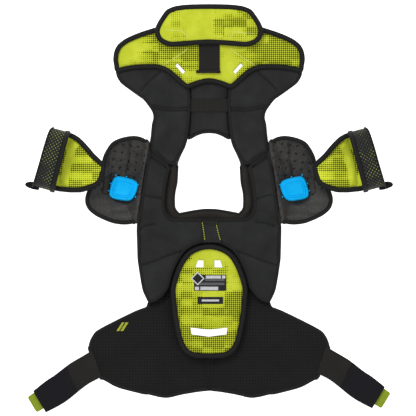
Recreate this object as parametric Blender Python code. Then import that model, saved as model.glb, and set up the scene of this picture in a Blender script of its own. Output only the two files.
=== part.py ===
"""Hockey shoulder pads, opened out flat with the liner side up, as they lie on a floor.

The frame is in metres, +Z up. +Y points from the back panel over the shoulders to the chest, and +X to the
wearer's left. The origin is under the middle of the pads, on the floor. All shapes below are in
millimetres.

Layers, from the floor up: hard plates, foam carriers, then the liners that touch the body.
"""

import math

import bpy
from mathutils import Vector
from mathutils.geometry import delaunay_2d_cdt

MM = 0.001
CLEAR = 0.5  # air left between neighbouring pieces
LEFT, RIGHT = 1, -1  # the wearer's left is +X
SIDES = {"left": LEFT, "right": RIGHT}

# Driving dimensions
PLATE_TOP = 4.7  # hard plates lie on the floor
CARRIER_TOP = 17.5
LINER_TOP = 34.0
LINER_BOTTOM = CARRIER_TOP + CLEAR
REAR_FOLD_Y = -36.0  # the pads fold here, between back panel and shoulder yoke
FRONT_FOLD_Y = 122.0  # and here, between shoulder yoke and chest
FOLD_Z = LINER_TOP + 0.3
YOKE_ARCH = 12.0  # the yoke bows up over the shoulder caps
WING_HINGE_X = 136.0
WING_TOP = 17.4
CAP_EDGE_TOP = ((134.5, 150.0), (163.0, -36.0))  # the line where a shoulder cap meets its yoke
CAP_AXIS_Z = 46.5
GUARD_TIP = (229.0, 84.0)  # where a bicep guard hangs from its cap
GUARD_TURN = math.radians(14.8)  # the arm's direction, above +X
GUARD_AXIS_Z = 56.0
GUARD_LENGTH = 150.0
STRAP_ROOT = ((266.5, -315.0), (244.5, -372.0))  # a belly strap's seam on its wing
STRAP_AXIS_Z = 14.2
CORD_PITCH = 12.0  # spacing of points along an outline

SLOTS = {  # colour, roughness and metallic value of each material
    "black_liner": ((0.026, 0.027, 0.029), 0.85, 0.0),
    "lime_liner": ((0.56, 0.60, 0.045), 0.8, 0.0),
    "perforated_foam": ((0.045, 0.042, 0.038), 0.9, 0.0),
    "binding_tape": ((0.018, 0.018, 0.018), 0.8, 0.0),
    "knit_mesh": ((0.016, 0.015, 0.015), 0.9, 0.0),
    "elastic": ((0.016, 0.015, 0.013), 0.85, 0.0),
    "hook_tape": ((0.012, 0.012, 0.015), 0.9, 0.0),
    "strap_mesh": ((0.030, 0.032, 0.030), 0.9, 0.0),
    "lime_webbing": ((0.32, 0.42, 0.02), 0.8, 0.0),
    "blue_rubber": ((0.0, 0.48, 0.95), 0.45, 0.0),
    "black_plastic": ((0.02, 0.02, 0.022), 0.35, 0.0),
    "eva_foam": ((0.03, 0.028, 0.026), 0.9, 0.0),
}


# ---------------------------------------------------------------- outlines

def smooth(points, pitch=CORD_PITCH):
    """Points on a curve through the given ones. At x = 0 the curve meets its mirror image smoothly."""

    def beyond(end, neighbour):
        return (-neighbour[0], neighbour[1]) if end[0] == 0 else end

    guide = [beyond(points[0], points[1]), *points, beyond(points[-1], points[-2])]
    found = []
    for before, start, end, after in zip(guide, guide[1:], guide[2:], guide[3:]):
        count = max(1, round(math.dist(start, end) / pitch))
        for step in range(count):
            t = step / count
            found.append(tuple(
                0.5 * (2 * q + (r - p) * t + (2 * p - 5 * q + 4 * r - s) * t * t + (3 * q - p - 3 * r + s)
                       * t ** 3)
                for p, q, r, s in zip(before, start, end, after)
            ))
    return [*found, tuple(points[-1])]


def outline(*runs, pitch=CORD_PITCH):
    """A closed outline of smooth runs that meet at corners."""
    found = []
    for run in runs:
        found += smooth(run, pitch) if len(run) > 2 else list(run)
    kept = []
    for point in found:
        if not kept or math.dist(point, kept[-1]) > 0.5:
            kept.append(point)
    if math.dist(kept[0], kept[-1]) < 0.5:
        kept.pop()
    return kept


def both_sides(*runs):
    """A closed outline whose right half is given, from the centre line round to the centre line."""
    half = outline(*runs)
    mirrored = [(-x, y) for x, y in reversed(half) if abs(x) > 0.5]
    return half + mirrored


def mirrored_x(points):
    return [(-x, y) for x, y in reversed(points)]


def area_of(points):
    return 0.5 * sum(a[0] * b[1] - b[0] * a[1] for a, b in zip(points, points[1:] + points[:1]))


def inset(points, distance):
    """The outline moved inwards by distance, or outwards where it is negative."""
    turn = 1 if area_of(points) > 0 else -1
    moved = []
    for before, here, after in zip(points[-1:] + points[:-1], points, points[1:] + points[:1]):
        along = Vector(after) - Vector(before)
        inward = Vector((-along.y, along.x)).normalized() * turn
        moved.append((here[0] + inward.x * distance, here[1] + inward.y * distance))
    return moved


def contains(points, x, y):
    """Whether the outline goes round the point."""
    inside = False
    for (ax, ay), (bx, by) in zip(points, points[1:] + points[:1]):
        if (ay > y) != (by > y) and x < ax + (y - ay) * (bx - ax) / (by - ay):
            inside = not inside
    return inside


def edge_distance(points, x, y):
    """How far the point is from the outline."""
    nearest = math.inf
    for a, b in zip(points, points[1:] + points[:1]):
        run = (b[0] - a[0], b[1] - a[1])
        t = ((x - a[0]) * run[0] + (y - a[1]) * run[1]) / max(run[0] ** 2 + run[1] ** 2, 1e-9)
        t = min(1.0, max(0.0, t))
        nearest = min(nearest, math.dist((x, y), (a[0] + run[0] * t, a[1] + run[1] * t)))
    return nearest


# ---------------------------------------------------------------- solids

def material_of(slot):
    found = bpy.data.materials.get(slot)
    if found:
        return found
    colour, roughness, metallic = SLOTS[slot]
    found = bpy.data.materials.new(slot)
    found.use_nodes = True
    shader = found.node_tree.nodes["Principled BSDF"]
    shader.inputs["Base Color"].default_value = (*colour, 1)
    shader.inputs["Roughness"].default_value = roughness
    shader.inputs["Metallic"].default_value = metallic
    return found


def make_body(name, pivot=(0, 0, 0)):
    """The empty that a body's pieces hang from, on its joint's axis."""
    empty = bpy.data.objects.new(name, None)
    empty.location = Vector(pivot) * MM
    bpy.context.scene.collection.objects.link(empty)
    return empty


def add_piece(name, slot, body, points, faces, side=LEFT):
    """Makes the object of one piece. Points are in millimetres in the frame; side RIGHT mirrors them."""
    if side == RIGHT:
        points = [(-x, y, z) for x, y, z in points]
        faces = [tuple(reversed(face)) for face in faces]
    mesh = bpy.data.meshes.new(name)
    mesh.from_pydata([Vector(p) * MM - body.location for p in points], [], faces)
    mesh.materials.append(material_of(slot))
    mesh.shade_smooth()
    mesh.set_sharp_from_angle(angle=math.radians(35))
    piece = bpy.data.objects.new(name, mesh)
    piece.parent = body
    bpy.context.scene.collection.objects.link(piece)
    return piece


def height(surface, x, y):
    return surface(x, y) if callable(surface) else surface


def slab(name, slot, body, rim, top, bottom, holes=(), pitch=0, soft=0, side=LEFT):
    """A sheet of foam, fabric or plastic with this rim, between two heights or height functions.

    pitch spaces the points inside the rim on a curved surface, and soft rounds the upper edge off by that
    much.
    """
    loops = [list(rim), *[list(hole) for hole in holes]]
    points, edges = [], []
    for loop in loops:
        first = len(points)
        points += loop
        edges += [(first + i, first + (i + 1) % len(loop)) for i in range(len(loop))]
    if soft:
        points += [p for p in inset(loops[0], soft) if contains(loops[0], *p)]
    if pitch:
        reach = [(min(p[k] for p in rim), max(p[k] for p in rim)) for k in (0, 1)]
        columns, rows = (int((high - low) / pitch) for low, high in reach)
        for i in range(columns):
            for j in range(rows):
                x, y = reach[0][0] + (i + 0.5) * pitch, reach[1][0] + (j + 0.5) * pitch
                near = min(edge_distance(loop, x, y) for loop in loops)
                if contains(rim, x, y) and near > soft + 0.45 * pitch:
                    points.append((x, y))
    flat, _, triangles, *_ = delaunay_2d_cdt([Vector(p) for p in points], edges, [], 0, 1e-4)

    def kept(triangle):
        x = sum(flat[i].x for i in triangle) / 3
        y = sum(flat[i].y for i in triangle) / 3
        return contains(loops[0], x, y) and not any(contains(hole, x, y) for hole in loops[1:])

    triangles = [tuple(t) for t in triangles if kept(t)]
    sides = {(t[k], t[(k + 1) % 3]) for t in triangles for k in range(3)}
    rim_edges = [(a, b) for a, b in sides if (b, a) not in sides]
    outer = {a for a, b in rim_edges if edge_distance(loops[0], *flat[a]) < 0.01}
    used = sorted({i for t in triangles for i in t})
    index = {old: new for new, old in enumerate(used)}
    count = len(used)
    upper = [(flat[i].x, flat[i].y, height(top, *flat[i]) - (soft if i in outer else 0)) for i in used]
    lower = [(flat[i].x, flat[i].y, height(bottom, *flat[i])) for i in used]
    faces = [tuple(index[i] for i in t) for t in triangles]
    faces += [tuple(index[i] + count for i in reversed(t)) for t in triangles]
    faces += [(index[b], index[a], index[a] + count, index[b] + count) for a, b in rim_edges]
    return add_piece(name, slot, body, upper + lower, faces, side)


def thick_sheet(name, slot, body, rows, thickness, side=LEFT):
    """A curved sheet through a grid of points, thickened by thickness along its normals."""
    high, wide = len(rows), len(rows[0])

    def normal(i, j):
        along = Vector(rows[min(i + 1, high - 1)][j]) - Vector(rows[max(i - 1, 0)][j])
        across = Vector(rows[i][min(j + 1, wide - 1)]) - Vector(rows[i][max(j - 1, 0)])
        return along.cross(across).normalized()

    near = [Vector(rows[i][j]) for i in range(high) for j in range(wide)]
    far = [near[i * wide + j] + normal(i, j) * thickness for i in range(high) for j in range(wide)]
    count = high * wide
    faces = []
    for i in range(high - 1):
        for j in range(wide - 1):
            a, b, c, d = i * wide + j, (i + 1) * wide + j, (i + 1) * wide + j + 1, i * wide + j + 1
            faces += [(a, d, c, b), (a + count, b + count, c + count, d + count)]
    border = [(0, j) for j in range(wide)] + [(i, wide - 1) for i in range(1, high)]
    border += [(high - 1, j) for j in range(wide - 2, -1, -1)] + [(i, 0) for i in range(high - 2, 0, -1)]
    ring = [i * wide + j for i, j in border]
    faces += [(b, a, a + count, b + count) for a, b in zip(ring, ring[1:] + ring[:1])]
    return add_piece(name, slot, body, [tuple(p) for p in near + far], faces, side)


def tube(name, slot, body, path, radius, side=LEFT):
    """A closed ring of round tape along a path."""
    curve = bpy.data.curves.new(name, "CURVE")
    curve.dimensions = "3D"
    curve.bevel_depth = radius * MM
    curve.bevel_resolution = 1
    spline = curve.splines.new("POLY")
    spline.points.add(len(path) - 1)
    for point, place in zip(spline.points, path):
        point.co = (*(Vector((place[0] * side, place[1], place[2])) * MM - body.location), 1)
    spline.use_cyclic_u = True
    curve.materials.append(material_of(slot))
    piece = bpy.data.objects.new(name, curve)
    piece.parent = body
    bpy.context.scene.collection.objects.link(piece)
    return piece


# ---------------------------------------------------------------- back panel

def eased(t):
    t = min(1.0, max(0.0, t))
    return t * t * (3 - 2 * t)


SPINE_RIM = both_sides([
    (0, -80), (24, -84), (48, -97), (65, -120), (77, -149), (84, -176), (83, -200), (80, -230), (74, -266),
    (66, -297), (53, -318), (33, -328), (0, -330),
])
SPINE_SLOT = both_sides([(0, -267), (41, -263)], [(41, -263), (38.5, -279)], [(38.5, -279), (0, -284)])
SPINE_VENT = [(12, -131), (30, -131), (24.5, -115), (12, -115)]
SPINE_VENTS = [SPINE_VENT, mirrored_x(SPINE_VENT)]


def back_panel(body):
    rim = both_sides(
        [(0, REAR_FOLD_Y - CLEAR), (158, REAR_FOLD_Y - CLEAR)],
        [(158, REAR_FOLD_Y - CLEAR), (159, -70), (157, -110), (150, -158), (144, -185), (132, -209)],
        [(132, -209), (118, -205), (102, -193), (88.5, -174)],
        [(88.5, -174), (81.5, -148), (68.5, -118), (51, -94), (26, -79.5), (0, -75.5)],
    )
    slab("back_liner", "black_liner", body, rim, LINER_TOP, LINER_BOTTOM, soft=5)
    pad_rim = inset(SPINE_RIM, 8)
    slab("spine_pad", "lime_liner", body, pad_rim, LINER_TOP, LINER_BOTTOM, [SPINE_SLOT, *SPINE_VENTS],
         soft=3)
    ring_rim, ring_hole = inset(SPINE_RIM, 1), inset(SPINE_RIM, 7.5)
    slab("spine_pad_binding", "binding_tape", body, ring_rim, LINER_TOP + 1, LINER_BOTTOM, [ring_hole],
         soft=1.5)
    carrier = both_sides(
        [(0, REAR_FOLD_Y - 2), (150, REAR_FOLD_Y - 2)],
        [(150, REAR_FOLD_Y - 2), (152, -70), (150, -110), (143, -158), (136, -180)],
        [(136, -180), (60, -186), (0, -188)],
    )
    slab("back_carrier", "eva_foam", body, carrier, CARRIER_TOP, PLATE_TOP + CLEAR, SPINE_VENTS)
    belt = both_sides(
        [(0, -191), (60, -192.5), (WING_HINGE_X - CLEAR, -216)],
        [(WING_HINGE_X - CLEAR, -216), (WING_HINGE_X - CLEAR, -410)],
        [(WING_HINGE_X - CLEAR, -410), (95, -418), (55, -410), (0, -403)],
    )
    slab("belt_center", "knit_mesh", body, belt, CARRIER_TOP, PLATE_TOP + CLEAR, [SPINE_SLOT], soft=3)
    upper = both_sides([(0, -58), (34, -62), (52, -84)], [(52, -84), (60, -150), (44, -178)],
                       [(44, -178), (20, -184), (0, -185)])
    lower = both_sides([(0, -190), (22, -189), (48, -194)],
                       [(48, -194), (60, -240), (56, -300), (40, -340)],
                       [(40, -340), (20, -348), (0, -349)])
    slab("spine_plate_upper", "black_plastic", body, upper, PLATE_TOP, 0, SPINE_VENTS)
    slab("spine_plate_lower", "black_plastic", body, lower, PLATE_TOP, 0, [SPINE_SLOT])
    scapula = outline([(70, -52), (110, -48), (140, -60)], [(140, -60), (143, -100), (132, -150)],
                      [(132, -150), (110, -166), (78, -160)], [(78, -160), (68, -110), (70, -52)])
    for side_name, side in SIDES.items():
        slab(f"scapula_plate_{side_name}", "black_plastic", body, scapula, PLATE_TOP, 0, side=side)
    tab = [(-13, -77), (19, -77), (14, -40), (-15, -40)]
    slab("back_loop_tab", "black_liner", body, tab, LINER_TOP + CLEAR + 2.2, LINER_TOP + CLEAR)


def wing_top(x, y):
    return WING_TOP - 4.4 * eased((x - WING_HINGE_X) / 130)


def wing(side_name, side, body):
    rim = outline(
        [(WING_HINGE_X + CLEAR, -218), (157, -225), (185, -238), (211, -251), (236, -264), (252, -275),
         (261, -290),
         (265, -304), (265.5, -315)],
        [(265.5, -315), (243.5, -372)],
        [(243.5, -372), (218, -387), (196, -397), (145, -410), (WING_HINGE_X + CLEAR, -411)],
        [(WING_HINGE_X + CLEAR, -411), (WING_HINGE_X + CLEAR, -218)],
    )
    slab(f"kidney_wing_{side_name}", "knit_mesh", body, rim, wing_top, lambda x, y: wing_top(x, y) - 10.0,
         pitch=34, soft=3, side=side)
    plate = outline([(150, -245), (180, -258), (215, -278)], [(215, -278), (228, -300), (214, -345)],
                    [(214, -345), (180, -375), (150, -385)], [(150, -385), (150, -245)])
    slab(f"kidney_plate_{side_name}", "eva_foam", body, plate, lambda x, y: wing_top(x, y) - 10.0 - CLEAR,
         lambda x, y: wing_top(x, y) - 13.0, pitch=34, side=side)


def strap_top(x, y):
    """A belly strap falls from its wing's edge to the floor."""
    (ax, ay), (bx, by) = STRAP_ROOT
    out = Vector((ay - by, bx - ax)).normalized()
    away = (x - ax) * out.x + (y - ay) * out.y
    return 3.6 + 8.4 * (1 - eased(away / 60))


def belly_strap(side_name, side, body):
    elastic = outline(
        [(267.5, -315.5), (286, -326), (306, -338), (322, -350)],
        [(322, -350), (294, -405)],
        [(294, -405), (279, -393), (262, -381), (245.5, -372.5)],
        [(245.5, -372.5), (267.5, -315.5)],
    )
    slab(f"belly_strap_{side_name}", "elastic", body, elastic, strap_top,
         lambda x, y: strap_top(x, y) - 2.6,
         pitch=16, side=side)
    hook = outline(
        [(323, -351), (341, -364.5), (360, -377), (389, -400)],
        [(389, -400), (361, -447)],
        [(361, -447), (330, -431), (310, -418), (295, -406)],
        [(295, -406), (323, -351)],
    )
    slab(f"belly_hook_patch_{side_name}", "hook_tape", body, hook, 3.6, 0.0, side=side)
    pull = [(387.8, -407), (399, -413), (380.5, -444.5), (368.9, -438.5)]
    slab(f"pull_tab_{side_name}", "lime_webbing", body, pull, 2.6, 0.6, side=side)


# ---------------------------------------------------------------- shoulder yoke

def arch(x, y):
    """How far the yoke bows up between its two folds."""
    return YOKE_ARCH * math.sin(math.pi * min(1.0, max(0.0, (y - REAR_FOLD_Y)
                                                       / (FRONT_FOLD_Y - REAR_FOLD_Y))))


def over_arch(base):
    return lambda x, y: base + arch(x, y)


NECK_SIDE = [(59, FRONT_FOLD_Y - CLEAR), (64, 110), (68, 99), (69.5, 79), (71, 55), (75, 36), (76.5, 16),
             (75, -1),
             (66, -12.5)]
NECK_REAR = [(66, -12.5), (48, -9), (22, -4.5), (0, -3)]


def shoulder_yoke(body):
    liner = outline(
        [(0.3, REAR_FOLD_Y + CLEAR), (0.3, -24)],
        [(0.3, -24), (60, -23.5), (84, -21), (94, -11), (98, 4), (98, 24), (95, 50), (89, 79), (78, 104),
         (62, FRONT_FOLD_Y - CLEAR)],
        [(62, FRONT_FOLD_Y - CLEAR), (132, FRONT_FOLD_Y - CLEAR)],
        [(132, FRONT_FOLD_Y - CLEAR), (138, 95), (143, 62), (149, 18), (155, -15),
         (157, REAR_FOLD_Y + CLEAR)],
        [(157, REAR_FOLD_Y + CLEAR), (0.3, REAR_FOLD_Y + CLEAR)],
    )
    for side_name, side in SIDES.items():
        slab(f"yoke_liner_{side_name}", "black_liner", body, liner, over_arch(LINER_TOP),
             over_arch(LINER_BOTTOM),
             pitch=26, soft=4, side=side)
    collar = both_sides(
        [(0, NECK_REAR[-1][1]), *reversed(NECK_REAR[:-1])],
        [*reversed(NECK_SIDE)],
        [NECK_SIDE[0], (128, FRONT_FOLD_Y - CLEAR)],
        [(128, FRONT_FOLD_Y - CLEAR), (134, 90), (138, 62), (144, 18), (150, -15),
         (151, REAR_FOLD_Y + CLEAR)],
        [(151, REAR_FOLD_Y + CLEAR), (0, REAR_FOLD_Y + CLEAR)],
    )
    slab("collar_foam", "eva_foam", body, collar, over_arch(CARRIER_TOP), over_arch(8.0), pitch=26)
    plate = outline([(100, 112), (124, 108)], [(124, 108), (132, 60), (140, 10), (142, -20)],
                    [(142, -20), (108, -24)], [(108, -24), (104, 20), (96, 70), (100, 112)])
    strap = [(104, 36), (152, 30), (156, 66), (108, 72)]
    for side_name, side in SIDES.items():
        slab(f"clavicle_plate_{side_name}", "black_plastic", body, plate, over_arch(7.5), over_arch(4.0),
             pitch=26, side=side)
        slab(f"cap_hinge_strap_{side_name}", "elastic", body, strap, over_arch(3.4), over_arch(0.8),
             pitch=14, side=side)


# ---------------------------------------------------------------- chest

YOKE_TOP_EDGE = [(206, 306), (183, 312), (150, 316), (114, 316), (97, 311), (79, 300), (66, 288), (48, 272)]
BIB_TOP_EDGE = [(48, 272), (26, 280.5), (9, 285), (0, 285.5)]
CHEST_VENT = [(52.5, 300), (58, 295), (75, 314), (69.5, 319)]
CHEST_VENTS = [CHEST_VENT, mirrored_x(CHEST_VENT)]


def chest(body):
    lime_side = [(0, 413), (44, 411), (88, 404.5), (122, 395), (158, 383), (186, 370), (202, 356),
                 (208, 343),
                 (210, 326), (206, 306)]
    whole = both_sides(lime_side, YOKE_TOP_EDGE, BIB_TOP_EDGE)
    inner = inset(whole, 5.5)
    slab("chest_panel", "lime_liner", body, inset(whole, 6), LINER_TOP, LINER_BOTTOM, CHEST_VENTS, soft=2)
    slab("chest_panel_binding", "binding_tape", body, inset(whole, 0.6), LINER_TOP + 0.8, LINER_BOTTOM,
         [inner],
         soft=1.5)
    liner = outline(
        [*[(x, y - CLEAR) for x, y in YOKE_TOP_EDGE]],
        [(48, 271.5), (43.5, 262), (41, 240), (41.5, 220), (43, 190), (46, 165), (49, 148), (53, 135),
         (59, FRONT_FOLD_Y + CLEAR)],
        [(59, FRONT_FOLD_Y + CLEAR), (132, FRONT_FOLD_Y + CLEAR)],
        [(132, FRONT_FOLD_Y + CLEAR), (129.5, 145), (127.5, 160), (125, 185), (122, 198), (124, 211),
         (132, 224),
         (143, 238), (161, 251), (179, 264), (194, 276), (202, 289), (206, 305.5)],
    )
    for side_name, side in SIDES.items():
        slab(f"chest_yoke_liner_{side_name}", "black_liner", body, liner, LINER_TOP, LINER_BOTTOM, soft=4,
             side=side)
    bib = both_sides(
        [(0, 285), *[(x - 1, y - CLEAR) for x, y in reversed(BIB_TOP_EDGE[1:-1])], (47, 270)],
        [(42.5, 262), (40, 240), (40.5, 220), (42, 190), (44.5, 165)],
        [(44.5, 165), (44, 156), (31, 163.5), (18, 168.5), (0, 170.5)],
    )
    slab("throat_bib", "black_liner", body, bib, 28.0, LINER_BOTTOM, soft=3)
    web = [(-39, 212), (39, 212), (39, 240), (-39, 240)]
    slab("sternum_strap", "elastic", body, web, 30.6, 28.4)
    carrier = both_sides(
        [(0, 406), (84, 398), (154, 377), (198, 352), (203, 322), (199, 296), (185, 280), (158, 259),
         (134, 238),
         (122, 224), (117, 205), (118, 185), (123, 150), (126, FRONT_FOLD_Y + CLEAR)],
        [(126, FRONT_FOLD_Y + CLEAR), (61, FRONT_FOLD_Y + CLEAR)],
        [(61, FRONT_FOLD_Y + CLEAR), (54, 136), (44.5, 156), (31, 163.5), (18, 168.5), (0, 170.5)],
    )
    slab("chest_carrier", "eva_foam", body, carrier, CARRIER_TOP, PLATE_TOP + CLEAR, CHEST_VENTS, soft=3)
    pectoral = outline([(14, 392), (84, 384), (150, 364), (186, 342)],
                       [(186, 342), (190, 320), (182, 296), (150, 268)],
                       [(150, 268), (110, 276), (90, 296)], [(90, 296), (84, 326), (50, 338), (14, 334)],
                       [(14, 334), (14, 392)])
    sternum = both_sides([(0, 286), (24, 282), (38, 262)], [(38, 262), (34, 220), (22, 192)],
                         [(22, 192), (12, 186), (0, 184)])
    slab("sternum_plate", "black_plastic", body, sternum, PLATE_TOP, 0)
    for side_name, side in SIDES.items():
        slab(f"pectoral_plate_{side_name}", "black_plastic", body, pectoral, PLATE_TOP, 0, side=side)


def belly_flap(body):
    whole = both_sides([
        (0, 447.6), (30, 447.2), (55, 446), (78, 442), (93, 435), (104, 421), (112, 408), (117.5, 395),
        (118, 382),
        (111, 368), (98, 359), (82, 355), (44, 357.5), (0, 360),
    ])
    bottom = LINER_TOP + 3.2
    slab("belly_flap", "lime_liner", body, inset(whole, 7), bottom + 9, bottom, soft=2)
    slab("belly_flap_binding", "binding_tape", body, inset(whole, 0.6), bottom + 9.5, bottom,
         [inset(whole, 6.5)],
         soft=2)
    strap = [(-22.5, 299), (23.5, 299), (23.5, 405), (-22.5, 405)]
    slab("flap_hook_strap", "hook_tape", body, strap, LINER_TOP + 2.9, LINER_TOP + 1.3)


# ---------------------------------------------------------------- shoulder caps

CAP_RIM = outline(
    [(140, 146), (152, 152), (169, 154), (191, 150), (209, 142), (219, 130), (227, 115), (232, 99),
     (240, 78),
     (252, 56), (263, 37), (268, 18), (263, 1), (250, -11), (229, -22), (206, -30), (186, -32), (167, -30)],
    [(167, -30), (160, 12), (153, 55), (146, 100), (140, 146)],
    pitch=15,
)
CAP_CENTRE = (203.0, 58.0)


def cap_outer_height(x, y):
    """The dome's outer face, lying on the floor at its crown and 30 mm up at its rim, a little less
    outside."""
    away = Vector((x - CAP_CENTRE[0], y - CAP_CENTRE[1]))
    if away.length < 1e-6:
        return 0.0
    direction = away.normalized()
    reach = 0.0
    for a, b in zip(CAP_RIM, CAP_RIM[1:] + CAP_RIM[:1]):
        pa, pb = Vector(a) - Vector(CAP_CENTRE), Vector(b) - Vector(CAP_CENTRE)
        cross_a, cross_b = direction.cross(pa), direction.cross(pb)
        if cross_a * cross_b <= 0 and cross_a != cross_b:
            hit = pa.lerp(pb, cross_a / (cross_a - cross_b))
            if hit.dot(direction) > 0:
                reach = max(reach, hit.length)
    rim = 30.0 - 5.0 * max(0.0, direction.x)
    return rim * min(1.3, away.length / max(reach, 1.0)) ** 2.2


def above_dome(base):
    return lambda x, y: cap_outer_height(x, y) + base


def shoulder_cap(side_name, side, body):
    slab(f"cap_shell_{side_name}", "black_plastic", body, inset(CAP_RIM, 2), above_dome(3.0),
         above_dome(0.0),
         pitch=17, side=side)
    slab(f"cap_liner_{side_name}", "perforated_foam", body, CAP_RIM, above_dome(13.0), above_dome(6.0),
         pitch=17, soft=2, side=side)
    slab(f"cap_binding_{side_name}", "binding_tape", body, inset(CAP_RIM, -4.0),
         lambda x, y: cap_outer_height(x, y) + 11.0, lambda x, y: cap_outer_height(x, y) + 3.0,
         [inset(CAP_RIM, -0.5)], side=side)
    lug = outline([(204, 71), (180, 65.5), (160, 60)], [(160, 60), (154.5, 55.5), (155.5, 47), (165, 22)],
                  [(165, 22), (170, 15), (178, 14), (198, 17.5), (216, 20.5)],
                  [(216, 20.5), (221.5, 24), (220, 32), (211, 66)], [(211, 66), (204, 71)])
    slab(f"cap_lug_{side_name}", "blue_rubber", body, lug, lambda x, y: 27.0 + 0.3 * (221.0 - x),
         above_dome(16.4),
         pitch=18, soft=2, side=side)
    webbing = [(223, 34), (233, 37), (228, 66), (218, 64)]
    slab(f"guard_webbing_{side_name}", "elastic", body, webbing, above_dome(16.8), above_dome(14.2),
         pitch=9, side=side)


# ---------------------------------------------------------------- bicep guards

GUARD_UPPER_EDGE = [(0, 6), (5, 12), (14, 17), (34, 28), (48, 38), (60, 46), (74, 54), (88, 58), (150, 58)]
GUARD_LOWER_EDGE = [(0, -20), (4, -30), (11.5, -42), (24.5, -52), (40, -61), (62, -67), (87, -71),
                    (150, -71)]


def along_edge(edge, u):
    for (ua, va), (ub, vb) in zip(edge, edge[1:]):
        if u <= ub:
            return va + (vb - va) * (u - ua) / (ub - ua)
    return edge[-1][1]


def guard_point(u, share, trim=0.0):
    """(u, v, z) on a guard's outer face: u along the arm, share from -1 to 1 across it, trim in from its
    edge."""
    high, low = along_edge(GUARD_UPPER_EDGE, u), along_edge(GUARD_LOWER_EDGE, u)
    middle, half = (high + low) / 2, (high - low) / 2
    v = share * (half - trim)
    lowest = 4.7 + 40 * (1 - eased((u - 15) / 95))
    rise = 3 + 45 * eased(u / 110)
    return u, middle + v, lowest + rise * abs(v / half) ** 2.4


def guard_to_frame(point):
    u, v, z = point
    cos, sin = math.cos(GUARD_TURN), math.sin(GUARD_TURN)
    return GUARD_TIP[0] + u * cos - v * sin, GUARD_TIP[1] + u * sin + v * cos, z


def guard_grid(stations, shares, trim=0.0, drop=0.0):
    rows = []
    for u in stations:
        rows.append([])
        for share in shares:
            pu, pv, pz = guard_point(u, share, trim)
            rows[-1].append(guard_to_frame((pu, pv, pz - drop)))
    return rows


def bicep_guard(side_name, side, body):
    stations = [10, 15, 24, 36, 50, 65, 82, 102, 124, 141]
    shares = [-1 + 2 * i / 12 for i in range(13)]
    thick_sheet(f"bicep_pad_{side_name}", "lime_liner", body, guard_grid(stations, shares, trim=11.6), 9.0,
                side)
    stations = [34, 44, 58, 74, 92, 112, 132, 146]
    shares = [-0.62 + 1.24 * i / 8 for i in range(9)]
    thick_sheet(f"bicep_shell_{side_name}", "black_plastic", body, guard_grid(stations, shares, drop=4.6),
                2.6, side)
    trim = 4.2
    up = [guard_point(u, 1, trim) for u in (8, 16, 26, 38, 50, 62, 75, 88, 104, 122, 138)]
    end = [guard_point(146.5, 0.92 - 1.84 * i / 12, trim) for i in range(13)]
    down = [guard_point(u, -1, trim) for u in (138, 122, 104, 88, 75, 62, 50, 38, 26, 16, 8)]
    tip = [guard_point(3.8, share, trim) for share in (-0.72, -0.3, 0.2, 0.7)]
    ring = [guard_to_frame((u, v, z + 4.2)) for u, v, z in up + end + down + tip]
    tube(f"bicep_binding_{side_name}", "binding_tape", body, ring, 3.6, side)


BAND_FROM, BAND_TO = 92.0, 144.0
BAND_MIDDLE, BAND_HALF = -6.5, 66.5
BAND_FOOT_Z, BAND_RISE = 46.0, 38.0


def band_point(u, turn):
    """A point on the inner face of the band that closes a guard over the arm; turn runs from 0 to pi."""
    flare = 2.0 if turn > math.pi / 2 else 0.0
    v = BAND_MIDDLE + (BAND_HALF + flare * abs(math.cos(turn))) * math.copysign(abs(math.cos(turn)) ** 0.6,
                                                                                math.cos(turn))
    return guard_to_frame((u, v, BAND_FOOT_Z + BAND_RISE * math.sin(turn) ** 0.75))


def bicep_band(side_name, side, body):
    turns = [math.pi * i / 16 for i in range(17)]
    rows = [[band_point(u, turn) for turn in turns] for u in (BAND_FROM, 110, 128, BAND_TO)]
    thick_sheet(f"bicep_strap_{side_name}", "strap_mesh", body, [row[::-1] for row in rows], 2.4, side)
    tongue = [(u, -77.5 + bow, z) for u, bow, z in ((BAND_TO + CLEAR, 0, 47), (152, -1.5, 47),
                                                    (160, -2, 50))]
    low = [guard_to_frame(p) for p in tongue]
    high = [guard_to_frame((u, v, 60 - (u - BAND_TO) * 0.35)) for u, v, z in tongue]
    thick_sheet(f"bicep_strap_tab_{side_name}", "hook_tape", body, [low, high], 2.6, side)


# ---------------------------------------------------------------- assembly

def build():
    for found in list(bpy.data.objects):
        bpy.data.objects.remove(found)
    back_panel(make_body("back"))
    shoulder_yoke(make_body("yoke", (0, REAR_FOLD_Y, FOLD_Z)))
    chest(make_body("chest", (0, FRONT_FOLD_Y, FOLD_Z)))
    belly_flap(make_body("flap", (0, 400, LINER_TOP)))
    for name, side in SIDES.items():
        shoulder_cap(name, side, make_body(f"cap_{name}",
                                           (side * CAP_EDGE_TOP[0][0], CAP_EDGE_TOP[0][1], CAP_AXIS_Z)))
        tip = (side * GUARD_TIP[0], GUARD_TIP[1], GUARD_AXIS_Z)
        bicep_guard(name, side, make_body(f"guard_{name}", tip))
        hinge = guard_to_frame((BAND_FROM, BAND_MIDDLE + BAND_HALF + 1.2, BAND_FOOT_Z))
        bicep_band(name, side, make_body(f"band_{name}", (side * hinge[0], hinge[1], hinge[2])))
        wing(name, side, make_body(f"wing_{name}", (side * WING_HINGE_X, -310, WING_TOP + 0.3)))
        root = STRAP_ROOT[0]
        belly_strap(name, side, make_body(f"strap_{name}", (side * root[0], root[1], STRAP_AXIS_Z)))


build()
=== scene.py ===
"""The looks of the hockey shoulder pads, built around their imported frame. Lengths are in millimetres."""

import math

import bpy
import numpy as np
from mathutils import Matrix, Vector
from mathutils.bvhtree import BVHTree
from mathutils.geometry import delaunay_2d_cdt


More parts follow.
